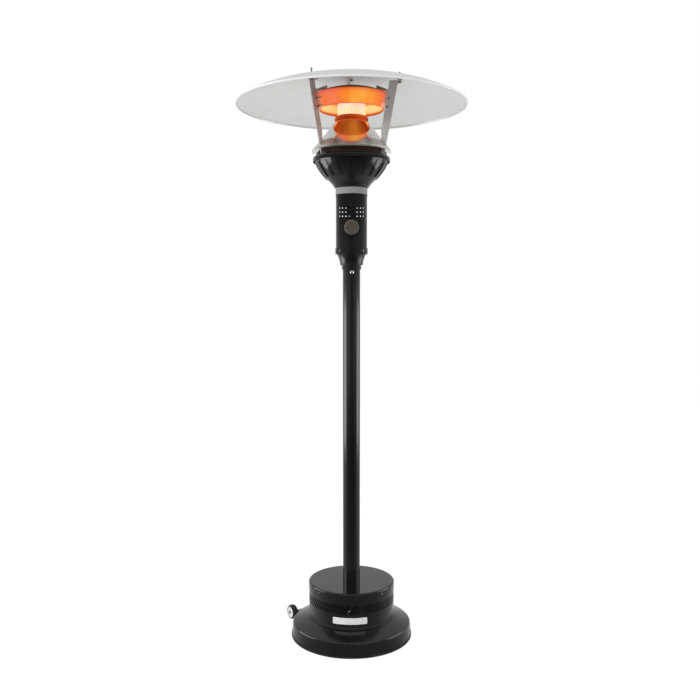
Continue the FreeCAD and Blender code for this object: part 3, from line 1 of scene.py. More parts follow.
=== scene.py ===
import math
import bpy
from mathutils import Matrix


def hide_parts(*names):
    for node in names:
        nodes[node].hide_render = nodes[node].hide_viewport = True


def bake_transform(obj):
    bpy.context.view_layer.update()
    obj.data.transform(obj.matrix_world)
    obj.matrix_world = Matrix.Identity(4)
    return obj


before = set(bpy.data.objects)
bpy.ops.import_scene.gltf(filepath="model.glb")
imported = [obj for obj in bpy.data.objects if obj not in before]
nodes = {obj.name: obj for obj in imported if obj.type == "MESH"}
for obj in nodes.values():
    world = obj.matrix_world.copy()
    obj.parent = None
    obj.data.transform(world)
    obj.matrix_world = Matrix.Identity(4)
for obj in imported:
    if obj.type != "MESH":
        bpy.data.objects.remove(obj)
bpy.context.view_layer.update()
scene = bpy.context.scene
print("frame loaded,", len(nodes), "nodes")


# Node graph helpers. A value is a number, a colour or another node's output

def addNode(tree, kind, inputs=None, **settings):
    node = tree.nodes.new("ShaderNode" + kind)
    for key, value in settings.items():
        setattr(node, key, value)
    for key, value in (inputs or {}).items():
        if isinstance(value, bpy.types.NodeSocket):
            tree.links.new(value, node.inputs[key])
        else:
            node.inputs[key].default_value = value
    return node


def newMaterial(name):
    mat = bpy.data.materials.new(name)
    mat.use_nodes = True
    mat.node_tree.nodes.clear()
    return mat, mat.node_tree


def calc(tree, operation, a, b=0.0):
    return addNode(tree, "Math", {0: a, 1: b}, operation=operation).outputs[0]


def span(tree, fac, low, high, start=0.3, end=0.7):
    # low to high as fac goes from start to end. Most noise lies between 0.3 and 0.7
    return addNode(tree, "MapRange", {"Value": fac, "From Min": start, "From Max": end,
                                      "To Min": low, "To Max": high}).outputs[0]


def swing(tree, fac, amount):
    # noise as a shift to either side of nought
    return calc(tree, "MULTIPLY", calc(tree, "SUBTRACT", fac, 0.5), amount)


def place(tree, scale=(1, 1, 1)):
    coords = addNode(tree, "TexCoord").outputs["Object"]
    return addNode(tree, "Mapping", {"Vector": coords, "Scale": scale}).outputs[0]


def fromAxis(tree):
    # from the pole's axis to the point, level
    return addNode(tree, "VectorMath", {0: place(tree), 1: (1, 1, 0)}, operation="MULTIPLY").outputs[0]


def pointHeight(tree):
    return addNode(tree, "SeparateXYZ", {0: place(tree)}).outputs[2]


def length(tree, vector):
    return addNode(tree, "VectorMath", {0: vector}, operation="LENGTH").outputs["Value"]


def ringPlace(tree, scale, turns):
    # (distance from the pole's axis, angle round it, height), for patterns that run round the heater
    x, y, z = addNode(tree, "SeparateXYZ", {0: place(tree)}).outputs
    return addNode(tree, "CombineXYZ", {0: calc(tree, "MULTIPLY", length(tree, fromAxis(tree)), scale),
                                        1: calc(tree, "MULTIPLY", calc(tree, "ARCTAN2", y, x), turns),
                                        2: calc(tree, "MULTIPLY", z, scale)}).outputs[0]


def noise(tree, coords, scale, detail=3.0, rough=0.5):
    return addNode(tree, "TexNoise", {"Vector": coords, "Scale": scale, "Detail": detail,
                                      "Roughness": rough}).outputs["Fac"]


def cells(tree, coords, scale):
    return addNode(tree, "TexVoronoi", {"Vector": coords, "Scale": scale}).outputs["Distance"]


def grey(level):
    return (level, level, level)


def ramp(tree, fac, stops):
    node = addNode(tree, "ValToRGB", {0: fac})
    band = node.color_ramp
    while len(band.elements) < len(stops):
        band.elements.new(0.5)
    for element, (position, colour) in zip(band.elements, stops):
        element.position = position
        element.color = (*colour, 1)
    return node.outputs[0]


def blendColour(tree, fac, a, b, how="MIX"):
    node = addNode(tree, "Mix", data_type="RGBA", blend_type=how)
    for socket, value in ((node.inputs[0], fac), (node.inputs[6], a), (node.inputs[7], b)):
        if isinstance(value, bpy.types.NodeSocket):
            tree.links.new(value, socket)
        else:
            socket.default_value = value if isinstance(value, float) else (*value, 1)
    return node.outputs[2]


def times(tree, a, b, fac=1.0):
    return blendColour(tree, fac, a, b, "MULTIPLY")


def bump(tree, height, depth):
    return addNode(tree, "Bump", {"Height": height, "Distance": depth, "Strength": 1.0}).outputs[0]


def surface(tree, **inputs):
    names = {"colour": "Base Color", "metal": "Metallic", "rough": "Roughness", "normal": "Normal",
             "specular": "Specular IOR Level", "glow": "Emission Color", "glowPower": "Emission Strength"}
    ready = {}
    for key, value in inputs.items():
        ready[names[key]] = (*value, 1) if isinstance(value, tuple) else value
    shader = addNode(tree, "BsdfPrincipled", ready)
    addNode(tree, "OutputMaterial", {0: shader.outputs[0]})


# Finishes. Each function is followed by the values of the finishes that it makes. rough is the lowest and the
# highest roughness, depth is in metres

def glossPaint(name, p):
    # baked enamel: faint orange peel, soft haze patches and sparse settled dust
    mat, tree = newMaterial(name)
    coords = place(tree)
    haze = noise(tree, coords, p["hazeScale"], detail=4)
    peel = noise(tree, coords, p["peelScale"], detail=2)
    specks = ramp(tree, noise(tree, coords, p["dustScale"], detail=1),
                  [(0.0, grey(0)), (p["dustFrom"], grey(0)), (p["dustTo"], grey(1))])
    paint = ramp(tree, haze, [(p["wornFrom"], p["colour"]), (p["wornTo"], p["worn"])])
    colour = blendColour(tree, calc(tree, "MULTIPLY", specks, p["dust"]), paint, p["dustColour"])
    rough = calc(tree, "ADD", span(tree, haze, *p["rough"]), calc(tree, "MULTIPLY", specks, p["dustRough"]))
    surface(tree, colour=colour, rough=rough, specular=p["specular"], normal=bump(tree, peel, p["depth"]))
    return mat


black = {"colour": (0.0045, 0.0045, 0.005), "worn": (0.007, 0.007, 0.0075), "wornFrom": 0.3, "wornTo": 0.75,
         "hazeScale": 6.0, "peelScale": 420.0, "depth": 0.00001, "rough": (0.09, 0.17), "specular": 0.5,
         "dustScale": 700.0, "dustFrom": 0.72, "dustTo": 0.78, "dust": 0.25, "dustRough": 0.12,
         "dustColour": (0.12, 0.11, 0.10)}
paints = {
    "base_paint": {**black, "rough": (0.11, 0.19)},
    "lid_paint": {**black, "rough": (0.03, 0.07)},
    "pole_paint": {**black, "hazeScale": 4.0, "rough": (0.12, 0.22)},
    "housing_paint": {**black, "rough": (0.14, 0.22)},
    "taper_paint": {**black, "rough": (0.24, 0.34)},
    "bowl_paint": {**black, "colour": (0.006, 0.006, 0.0065), "worn": (0.010, 0.010, 0.010),
                   "rough": (0.08, 0.15), "specular": 0.4},
    "bracket_paint": {**black, "worn": (0.03, 0.03, 0.03), "rough": (0.25, 0.4)},
}


def clouded(tree, p):
    # a metal's slow, cloudy change from its colour to its tarnish, and the clouds themselves
    clouds = noise(tree, place(tree), p["cloudScale"])
    return blendColour(tree, span(tree, clouds, 0.0, 1.0), p["colour"], p["tarnish"]), clouds


def brushedSteel(name, p):
    # fine streaks stretched along one direction, with cloudy tarnish
    mat, tree = newMaterial(name)
    streaks = noise(tree, place(tree, p["stretch"]), p["streakScale"], detail=4, rough=0.65)
    colour = clouded(tree, p)[0]
    colour = times(tree, colour, p["streakColour"], span(tree, streaks, 0.0, p["streakDark"]))
    surface(tree, colour=colour, metal=p["metal"], rough=span(tree, streaks, *p["rough"]),
            normal=bump(tree, streaks, p["depth"]))
    return mat


streaky = {"streakColour": (0.05, 0.05, 0.05), "streakDark": 0.35}
brushed = {
    "plate_metal": {**streaky, "colour": (0.45, 0.45, 0.46), "tarnish": (0.36, 0.36, 0.38),
                    "stretch": (1, 1, 60), "streakScale": 60.0, "cloudScale": 14.0, "metal": 0.25,
                    "rough": (0.28, 0.42), "depth": 0.00002},
    "drum_plate_white": {**streaky, "colour": (0.86, 0.86, 0.85), "tarnish": (0.78, 0.78, 0.77),
                         "stretch": (1, 1, 40), "streakScale": 40.0, "cloudScale": 18.0, "metal": 0.0,
                         "rough": (0.25, 0.4), "depth": 0.00001},
    "post_steel": {**streaky, "colour": (0.74, 0.72, 0.70), "tarnish": (0.66, 0.63, 0.60),
                   "stretch": (60, 60, 1.5), "streakScale": 9.0, "cloudScale": 16.0, "metal": 0.2,
                   "rough": (0.3, 0.45), "depth": 0.00004},
    "zinc_steel": {**streaky, "colour": (0.60, 0.61, 0.63), "tarnish": (0.45, 0.45, 0.44),
                   "stretch": (30, 30, 4), "streakScale": 12.0, "cloudScale": 40.0, "metal": 1.0,
                   "rough": (0.3, 0.5), "depth": 0.00003},
    "pipe_steel": {**streaky, "colour": (0.5, 0.5, 0.5), "tarnish": (0.4, 0.39, 0.38),
                   "stretch": (40, 40, 1), "streakScale": 12.0, "cloudScale": 20.0, "metal": 1.0,
                   "rough": (0.3, 0.45), "depth": 0.00003},
}


def latheRings(tree, p):
    # fine grooves round the heater's axis, and how dark they make a colour
    rings = noise(tree, ringPlace(tree, p["ringScale"], p["turnScale"]), 1.0, rough=0.6)
    return rings, span(tree, rings, 0.0, p["ringDark"])


def spunSteel(name, p):
    # turned on a lathe: fine rings, faint cloudy patches
    mat, tree = newMaterial(name)
    rings, ringDark = latheRings(tree, p)
    colour, clouds = clouded(tree, p)
    colour = times(tree, colour, p["ringColour"], ringDark)
    rough = calc(tree, "ADD", span(tree, rings, *p["rough"]), span(tree, clouds, 0.0, p["cloudRough"]))
    surface(tree, colour=colour, metal=p["metal"], rough=rough, normal=bump(tree, rings, p["depth"]))
    return mat


spun = {
    "cone_steel": {"colour": (0.86, 0.85, 0.83), "tarnish": (0.80, 0.79, 0.76), "ringScale": 700.0,
                   "turnScale": 2.0, "ringDark": 0.06, "ringColour": (0.1, 0.1, 0.1), "cloudScale": 9.0,
                   "cloudRough": 0.04, "rough": (0.05, 0.1), "metal": 1.0, "depth": 0.000004},
    "knob_bronze": {"colour": (0.35, 0.305, 0.235), "tarnish": (0.26, 0.225, 0.175), "ringScale": 1500.0,
                    "turnScale": 3.0, "ringDark": 0.2, "ringColour": (0.1, 0.1, 0.1), "cloudScale": 60.0,
                    "cloudRough": 0.04, "rough": (0.35, 0.5), "metal": 1.0, "depth": 0.00002},
}


def dishSteel(name, p):
    # spun too, but painted light makes it paler on top, and the satin hem from the distance hemFrom outwards
    # carries a painted highlight, a brighter colour
    mat, tree = newMaterial(name)
    rings, ringDark = latheRings(tree, p)
    upward = addNode(tree, "SeparateXYZ", {0: addNode(tree, "NewGeometry").outputs["Normal"]}).outputs[2]
    hem = calc(tree, "GREATER_THAN", length(tree, fromAxis(tree)), p["hemFrom"])
    colour = clouded(tree, p)[0]
    # painted light: faces that look up are blended towards a paler colour
    colour = blendColour(tree, span(tree, upward, 0.0, 1.0, *p["upperEdge"]), colour, p["paintedTopLight"])
    # painted highlight: the hem is blended towards a brighter colour
    colour = blendColour(tree, hem, colour, p["hem"])
    colour = times(tree, colour, p["ringColour"], ringDark)
    metal = calc(tree, "SUBTRACT", p["metal"], calc(tree, "MULTIPLY", hem, p["hemMatt"]))
    surface(tree, colour=colour, metal=metal, rough=span(tree, rings, *p["rough"]),
            normal=bump(tree, rings, p["depth"]))
    return mat


dishes = {
    # the top colour and the hem colour are painted light: a paler top and a brighter, highlighted hem
    "dish_aluminium": {"colour": (0.81, 0.82, 0.81), "tarnish": (0.77, 0.78, 0.77),
                       "paintedTopLight": (0.93, 0.92, 0.92), "upperEdge": (0.0, 0.3), "hem": (0.96, 0.96, 0.95),
                       "hemFrom": 0.4525, "hemMatt": 0.6, "ringScale": 900.0, "turnScale": 1.5,
                       "ringDark": 0.02, "ringColour": (0.1, 0.1, 0.1), "cloudScale": 4.0,
                       "rough": (0.27, 0.32), "metal": 0.82, "depth": 0.000002},
}


def castMetal(name, p):
    # sand-cast or plated: grainy skin, cloudy tarnish
    mat, tree = newMaterial(name)
    grain = noise(tree, place(tree), p["grainScale"], detail=4, rough=0.6)
    surface(tree, colour=clouded(tree, p)[0], metal=p["metal"], rough=span(tree, grain, *p["rough"]),
            normal=bump(tree, grain, p["depth"]))
    return mat


cast = {
    "ballast_iron": {"colour": (0.09, 0.085, 0.08), "tarnish": (0.14, 0.09, 0.06), "grainScale": 260.0,
                     "cloudScale": 12.0, "metal": 0.6, "rough": (0.6, 0.8), "depth": 0.0004},
    "bright_screws": {"colour": (0.42, 0.42, 0.43), "tarnish": (0.3, 0.3, 0.3), "grainScale": 900.0,
                      "cloudScale": 90.0, "metal": 1.0, "rough": (0.2, 0.34), "depth": 0.00002},
    "dark_screws": {"colour": (0.07, 0.07, 0.075), "tarnish": (0.16, 0.15, 0.14), "grainScale": 900.0,
                    "cloudScale": 90.0, "metal": 1.0, "rough": (0.25, 0.4), "depth": 0.00002},
    "drum_screw_steel": {"colour": (0.30, 0.30, 0.31), "tarnish": (0.2, 0.2, 0.2), "grainScale": 900.0,
                         "cloudScale": 90.0, "metal": 1.0, "rough": (0.3, 0.42), "depth": 0.00002},
    "pole_bolt_steel": {"colour": (0.84, 0.85, 0.87), "tarnish": (0.72, 0.72, 0.72), "grainScale": 700.0,
                        "cloudScale": 60.0, "metal": 1.0, "rough": (0.12, 0.22), "depth": 0.00001},
    "post_fasteners": {"colour": (0.48, 0.46, 0.44), "tarnish": (0.3, 0.27, 0.24), "grainScale": 900.0,
                       "cloudScale": 70.0, "metal": 1.0, "rough": (0.26, 0.4), "depth": 0.00002},
    "gas_brass": {"colour": (0.78, 0.58, 0.26), "tarnish": (0.56, 0.40, 0.18), "grainScale": 700.0,
                  "cloudScale": 50.0, "metal": 1.0, "rough": (0.22, 0.38), "depth": 0.00003},
    "valve_alloy": {"colour": (0.56, 0.56, 0.57), "tarnish": (0.42, 0.42, 0.42), "grainScale": 500.0,
                    "cloudScale": 40.0, "metal": 1.0, "rough": (0.4, 0.55), "depth": 0.00008},
    "probe_copper": {"colour": (0.72, 0.42, 0.26), "tarnish": (0.36, 0.2, 0.13), "grainScale": 700.0,
                     "cloudScale": 60.0, "metal": 1.0, "rough": (0.25, 0.4), "depth": 0.00002},
}


def mouldedPlastic(name, p):
    # pebbled skin with scuffs, which start at the first noise level of scuffEdge and are full at the second
    mat, tree = newMaterial(name)
    coords = place(tree)
    scuffs = noise(tree, coords, p["cloudScale"], detail=5, rough=0.7)
    colour = blendColour(tree, span(tree, scuffs, 0.0, 1.0, *p["scuffEdge"]), p["colour"], p["scuffed"])
    surface(tree, colour=colour, rough=span(tree, scuffs, *p["rough"]), specular=p["specular"],
            normal=bump(tree, cells(tree, coords, p["grainScale"]), p["depth"]))
    return mat


moulded = {"specular": 0.5, "scuffEdge": (0.45, 0.75)}
plastics = {
    "edge_rubber": {**moulded, "colour": (0.012, 0.012, 0.012), "scuffed": (0.035, 0.034, 0.032),
                    "grainScale": 900.0, "cloudScale": 12.0, "rough": (0.5, 0.7), "specular": 0.4,
                    "depth": 0.00005},
    "tyre_rubber": {**moulded, "colour": (0.014, 0.014, 0.014), "scuffed": (0.05, 0.048, 0.045),
                    "grainScale": 1100.0, "cloudScale": 60.0, "rough": (0.5, 0.72), "specular": 0.4,
                    "depth": 0.00008},
    "hub_plastic": {**moulded, "colour": (0.68, 0.68, 0.67), "scuffed": (0.52, 0.52, 0.51),
                    "grainScale": 1300.0, "cloudScale": 80.0, "rough": (0.35, 0.5), "depth": 0.00003},
    "knob_plastic": {**moulded, "colour": (0.12, 0.11, 0.095), "scuffed": (0.16, 0.145, 0.12),
                     "grainScale": 1500.0, "cloudScale": 70.0, "rough": (0.32, 0.46), "depth": 0.00002},
    "switch_plastic": {**moulded, "colour": (0.03, 0.03, 0.032), "scuffed": (0.06, 0.06, 0.06),
                       "grainScale": 1300.0, "cloudScale": 60.0, "rough": (0.4, 0.6), "depth": 0.00003},
    "wire_sleeve": {**moulded, "colour": (0.78, 0.76, 0.70), "scuffed": (0.6, 0.56, 0.48),
                    "grainScale": 1300.0, "cloudScale": 90.0, "rough": (0.45, 0.6), "specular": 0.4,
                    "depth": 0.00002},
}


def heatedSteel(name, p):
    # brown temper colours in bands over the height, which wander by swirl
    mat, tree = newMaterial(name)
    wander = noise(tree, place(tree), p["cloudScale"], detail=4, rough=0.6)
    band = calc(tree, "ADD", calc(tree, "MULTIPLY", pointHeight(tree), p["bandScale"]),
                calc(tree, "MULTIPLY", wander, p["swirl"]))
    colour = ramp(tree, calc(tree, "FRACT", band), p["temper"])
    grain = noise(tree, place(tree), p["grainScale"])
    surface(tree, colour=colour, metal=p["metal"], rough=span(tree, grain, *p["rough"]),
            normal=bump(tree, grain, p["depth"]))
    return mat


heated = {
    "burner_steel": {"cloudScale": 9.0, "bandScale": 7.0, "swirl": 1.6, "grainScale": 500.0, "metal": 0.85,
                     "rough": (0.35, 0.55), "depth": 0.00004,
                     "temper": [(0.0, (0.15, 0.085, 0.06)), (0.3, (0.20, 0.115, 0.075)),
                                (0.55, (0.12, 0.07, 0.05)), (0.8, (0.08, 0.06, 0.06)),
                                (1.0, (0.15, 0.085, 0.06))]},
}


def armSteelWithPaintedGlow(name, p):
    # heat-tinted arms, with a painted glow on the ends that hold the pan. The painted glow fades outwards
    # between the distances glowFrom and glowTo, and upwards between the heights glowLow and glowHigh
    mat, tree = newMaterial(name)
    wander = noise(tree, place(tree), p["cloudScale"], detail=4, rough=0.6)
    far = calc(tree, "ADD", length(tree, fromAxis(tree)), swing(tree, wander, p["wander"]))
    paintedGlowAmount = calc(tree, "MULTIPLY", span(tree, far, 1.0, 0.0, p["glowFrom"], p["glowTo"]),
               span(tree, pointHeight(tree), 1.0, 0.0, p["glowLow"], p["glowHigh"]))
    grain = noise(tree, place(tree), p["grainScale"])
    # the arm ends get a painted glow: emission that fades with the distance and the height above
    surface(tree, colour=ramp(tree, wander, p["temper"]), metal=p["metal"],
            rough=span(tree, grain, *p["rough"]), normal=bump(tree, grain, p["depth"]),
            glow=ramp(tree, paintedGlowAmount, p["glow"]), glowPower=p["power"])
    return mat


armsWithPaintedGlow = {
    # the glow ramp colours the painted glow of the arm ends
    "bracket_steel": {"cloudScale": 45.0, "wander": 0.03, "glowFrom": 0.128, "glowTo": 0.166,
                      "glowLow": 2.165, "glowHigh": 2.19, "power": 1.0, "grainScale": 500.0, "metal": 0.3,
                      "rough": (0.35, 0.5), "depth": 0.00003,
                      "temper": [(0.3, (0.60, 0.50, 0.45)), (0.7, (0.46, 0.33, 0.28))],
                      "glow": [(0.0, (0, 0, 0)), (0.3, (0.10, 0.03, 0.015)), (0.7, (0.42, 0.13, 0.06)),
                               (1.0, (0.72, 0.22, 0.09))]},
}


def insideGlow(tree, p, heat, rise, bearing):
    # the inner face of an open pan: pale orange at the back, and painted shade at the front, a deep red,
    # which ends where the sine of the bearing goes through frontEdge
    pale = times(tree, ramp(tree, heat, p["inside"]), ramp(tree, rise, p["insideEdges"]))
    atBack = calc(tree, "SINE", bearing)
    # painted shade: the front half of the inner face is darker red than the back, with patches
    front = ramp(tree, span(tree, atBack, 0.0, 1.0, *p["frontSpan"]), p["insideFrontShade"])
    front = times(tree, front, ramp(tree, heat, p["frontShadePatches"]))
    return blendColour(tree, span(tree, atBack, 0.0, 1.0, *p["frontEdge"]), front, pale)


def glowSteel(name, p):
    # red-hot sheet. heat = middle + lobe * cos(lobes * (bearing + turn)) + drift * (noise - 0.5), so it rises
    # and falls lobes times round the heater. A second ramp over the height darkens the edges, and holes are
    # dark
    mat, tree = newMaterial(name)
    x, y, z = addNode(tree, "SeparateXYZ", {0: place(tree)}).outputs
    rise = span(tree, z, 0.0, 1.0, p["low"], p["high"])
    bearing = calc(tree, "ARCTAN2", y, x)
    wave = calc(tree, "COSINE", calc(tree, "MULTIPLY", calc(tree, "ADD", bearing, p["turn"]), p["lobes"]))
    drift = noise(tree, ringPlace(tree, p["driftScale"], p["driftTurns"]), 1.0, detail=2)
    heat = calc(tree, "ADD", calc(tree, "MULTIPLY", wave, p["lobe"]), p["middle"])
    heat = calc(tree, "ADD", heat, swing(tree, drift, p["drift"]))
    glow = times(tree, ramp(tree, heat, p["outside"]), ramp(tree, rise, p["outsideEdges"]))
    if "inside" in p:
        normal = addNode(tree, "NewGeometry").outputs["Normal"]
        facing = addNode(tree, "VectorMath", {0: normal, 1: fromAxis(tree)}, operation="DOT_PRODUCT")
        outward = calc(tree, "GREATER_THAN", facing.outputs["Value"], 0.0)
        glow = blendColour(tree, outward, insideGlow(tree, p, heat, rise, bearing), glow)
    holes = cells(tree, place(tree), p["holeScale"])
    shade = span(tree, holes, p["holeDark"], 1.0, *p["holeEdge"])
    glow = times(tree, glow, addNode(tree, "CombineColor", {0: shade, 1: shade, 2: shade}).outputs[0])
    surface(tree, colour=p["cold"], metal=0.0, rough=p["rough"], specular=p["specular"], glow=glow,
            glowPower=p["power"], normal=bump(tree, holes, p["depth"]))
    return mat


redHot = {"turn": 0.0, "lobes": 3.0, "middle": 0.5, "drift": 0.4, "driftScale": 9.0, "driftTurns": 1.8,
          "holeScale": 700.0, "holeEdge": (0.15, 0.45), "power": 1.0, "rough": 0.5, "specular": 0.15,
          "depth": 0.0003}
glows = {
    "hot_rim": {**redHot, "low": 2.06, "high": 2.09, "lobe": 0.1, "holeDark": 0.9, "cold": (0.06, 0.02, 0.01),
                "outside": [(0.2, (0.50, 0.12, 0.02)), (0.8, (0.70, 0.20, 0.04))],
                "outsideEdges": [(0.0, (1, 1, 1)), (1.0, (1, 1, 1))]},
    "hot_pan": {**redHot, "low": 2.1267, "high": 2.2167, "turn": math.radians(72), "lobe": 0.22,
                "drift": 0.5, "driftTurns": 2.2, "holeScale": 520.0, "holeDark": 0.86,
                "cold": (0.10, 0.03, 0.015),
                "outside": [(0.15, (0.80, 0.22, 0.10)), (0.35, (0.88, 0.18, 0.04)),
                            (0.6, (0.93, 0.25, 0.01)), (0.82, (0.97, 0.42, 0.05))],
                "outsideEdges": [(0.0, (0.6, 0.3, 0.3)), (0.04, (0.98, 0.9, 1.2)), (0.25, (1, 1, 1)),
                                 (0.45, (0.97, 0.9, 1.2)), (0.57, (0.85, 0.55, 1.3)),
                                 (0.605, (0.4, 0.2, 0.6)), (0.64, (0.05, 0.05, 0.08))],
                "inside": [(0.1, (0.93, 0.36, 0.08)), (0.4, (0.98, 0.60, 0.2)), (0.8, (1.0, 0.72, 0.28))],
                "insideEdges": [(0.0, (0.5, 0.035, 0.02)), (0.06, (0.55, 0.045, 0.02)),
                                (0.11, (0.92, 0.4, 0.25)), (0.2, (1, 1, 1)), (0.5, (1, 1, 1)),
                                (0.6, (0.85, 0.35, 0.12)), (0.68, (0.48, 0.11, 0.02)),
                                (1.0, (0.42, 0.10, 0.02))],
                # the next two ramps are painted shade: the darker red of the inner face's front half
                "insideFrontShade": [(0.0, (0.50, 0.12, 0.006)), (0.4, (0.50, 0.09, 0.004)),
                                (0.72, (0.34, 0.025, 0.001)), (1.0, (0.55, 0.05, 0.003))],
                "frontShadePatches": [(0.2, (0.72, 0.6, 0.5)), (0.8, (1.25, 1.4, 2.0))],
                "frontSpan": (-1.0, 0.4), "frontEdge": (0.15, 0.5)},
    "hot_core": {**redHot, "low": 2.103, "high": 2.168, "lobe": 0.1, "drift": 0.5, "driftTurns": 2.0,
                 "holeScale": 600.0, "holeDark": 0.93, "cold": (0.12, 0.08, 0.07), "power": 1.1,
                 "outside": [(0.2, (0.95, 0.55, 0.38)), (0.5, (1.0, 0.70, 0.46)), (0.8, (1.0, 0.82, 0.55))],
                 "outsideEdges": [(0.0, (1.0, 1.0, 0.85)), (0.35, (1.0, 1.0, 0.95)), (0.6, (0.95, 0.84, 1.0)),
                                  (1.0, (1.0, 0.9, 0.95))]},
    "hot_cap": {**redHot, "low": 2.0892, "high": 2.1042, "turn": math.radians(50), "lobe": 0.25,
                "holeDark": 0.85, "cold": (0.05, 0.012, 0.006),
                "outside": [(0.2, (0.38, 0.042, 0.004)), (0.5, (0.56, 0.075, 0.004)),
                            (0.85, (0.70, 0.12, 0.01))],
                "outsideEdges": [(0.0, (0.6, 0.45, 0.3)), (0.3, (0.85, 0.7, 0.5)), (0.7, (1, 1, 1)),
                                 (1.0, (0.8, 0.7, 0.7))]},
    "hot_screen": {**redHot, "low": 2.0782, "high": 2.0892, "turn": math.radians(50), "lobe": 0.25,
                   "holeDark": 0.8, "cold": (0.05, 0.012, 0.006),
                   "outside": [(0.2, (0.28, 0.016, 0.001)), (0.5, (0.36, 0.022, 0.001)),
                               (0.85, (0.56, 0.045, 0.002))],
                   "outsideEdges": [(0.0, (1.0, 2.6, 9.0)), (0.12, (1.0, 2.2, 6.0)), (0.22, (1, 1, 1)),
                                    (1.0, (1, 1, 1))]},
}

finishes = {}
for makeFinish, values in ((glossPaint, paints), (brushedSteel, brushed), (spunSteel, spun),
                           (dishSteel, dishes), (castMetal, cast), (mouldedPlastic, plastics),
                           (heatedSteel, heated), (armSteelWithPaintedGlow, armsWithPaintedGlow), (glowSteel, glows)):
    for finishName, finishValues in values.items():
        finishes[finishName] = makeFinish(finishName, finishValues)
print("finishes made:", len(finishes))

nodeFinish = {
    "base_edge_trim": "edge_rubber", "base_skirt": "base_paint", "base_plate": "zinc_steel",
    "ballast_weight": "ballast_iron", "base_bolts": "zinc_steel", "base_drum": "base_paint",
    "drum_plate": "drum_plate_white", "drum_lid": "lid_paint", "drum_screws": "drum_screw_steel",
    "pole_flange": "zinc_steel", "pole": "pole_paint", "pole_bolts": "pole_bolt_steel",
    "pole_collar": "pole_paint", "taper_skirt": "taper_paint", "gas_inlet": "gas_brass",
    "gas_pipe": "pipe_steel", "wheel_bracket": "bracket_paint", "wheel_axle": "zinc_steel",
    "axle_push_nuts": "zinc_steel", "wheel_tyre_left": "tyre_rubber", "wheel_hub_left": "hub_plastic",
    "wheel_tyre_right": "tyre_rubber", "wheel_hub_right": "hub_plastic", "head_sleeve": "zinc_steel",
    "head_screws": "bright_screws", "housing_base": "housing_paint", "control_housing": "housing_paint",
    "neck_collar": "housing_paint", "neck_plate": "plate_metal", "control_knob": "knob_plastic",
    "knob_face": "knob_bronze", "valve_stem": "zinc_steel", "spring_cup": "zinc_steel",
    "return_spring": "zinc_steel", "gas_valve": "valve_alloy", "valve_bracket": "zinc_steel",
    "tilt_switch": "switch_plastic", "igniter_module": "switch_plastic", "spark_wire": "wire_sleeve",
    "gas_orifice": "gas_brass", "venturi_tube": "burner_steel", "pilot_burner": "burner_steel",
    "heat_probe": "probe_copper", "burner_bowl": "bowl_paint", "burner_screws": "dark_screws",
    "bowl_lip": "bowl_paint", "burner_plate": "burner_steel", "heat_collar": "burner_steel",
    "deflector_cone": "cone_steel", "burner_floor": "hot_rim", "burner_screen": "hot_screen",
    "burner_cap": "hot_cap", "emitter_core": "hot_core", "emitter_pan": "hot_pan",
    "dish_posts": "post_steel", "emitter_brackets": "bracket_steel", "bracket_bolts": "post_fasteners",
    "reflector_dish": "dish_aluminium", "crown_rivet": "post_fasteners", "dish_studs": "post_fasteners",
}
for nodeName, finishName in nodeFinish.items():
    mesh = nodes[nodeName].data
    if not mesh.materials:
        mesh.materials.append(finishes[finishName])
    for slotNumber in range(len(mesh.materials)):
        mesh.materials[slotNumber] = finishes[finishName]
print("finishes assigned to", len(nodeFinish), "nodes")


# Return spring: a copy of the node's mesh takes its place, and the node is hidden. The real spring shortens
# as the knob is pushed, one end on the valve and the other on the knob's slider


def makeSpring():
    mesh = nodes["return_spring"].data.copy()
    spring = bpy.data.objects.new("return_spring_coil", mesh)
    scene.collection.objects.link(spring)
    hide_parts("return_spring")
    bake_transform(spring)


makeSpring()
print("return spring made")


# Stage: pale floor, the room in reflections, lamps and camera

# The floor is white to the camera, and its own glow grows outwards over the distances glowSpan. In
# reflections it is lit beside and behind the heater, and falls off towards the camera over frontSpan
floorValues = {
    "size": 14.0, "sink": 0.0005, "glowLevels": (0.93, 1.0), "glowSpan": (0.35, 0.95),
    "paper": (0.1, 0.1, 0.1), "mottle": (0.09, 0.09, 0.09), "mottleScale": 3.0,
    "mirrorRound": [(0.0, 0.20), (0.12, 0.26), (0.25, 0.36), (0.38, 0.56), (0.55, 0.66), (1.0, 0.8)],
    "frontSpan": (0.8, 2.2), "frontEdge": (0.05, 0.4), "frontLeast": 0.15, "axisGap": 0.01,
}


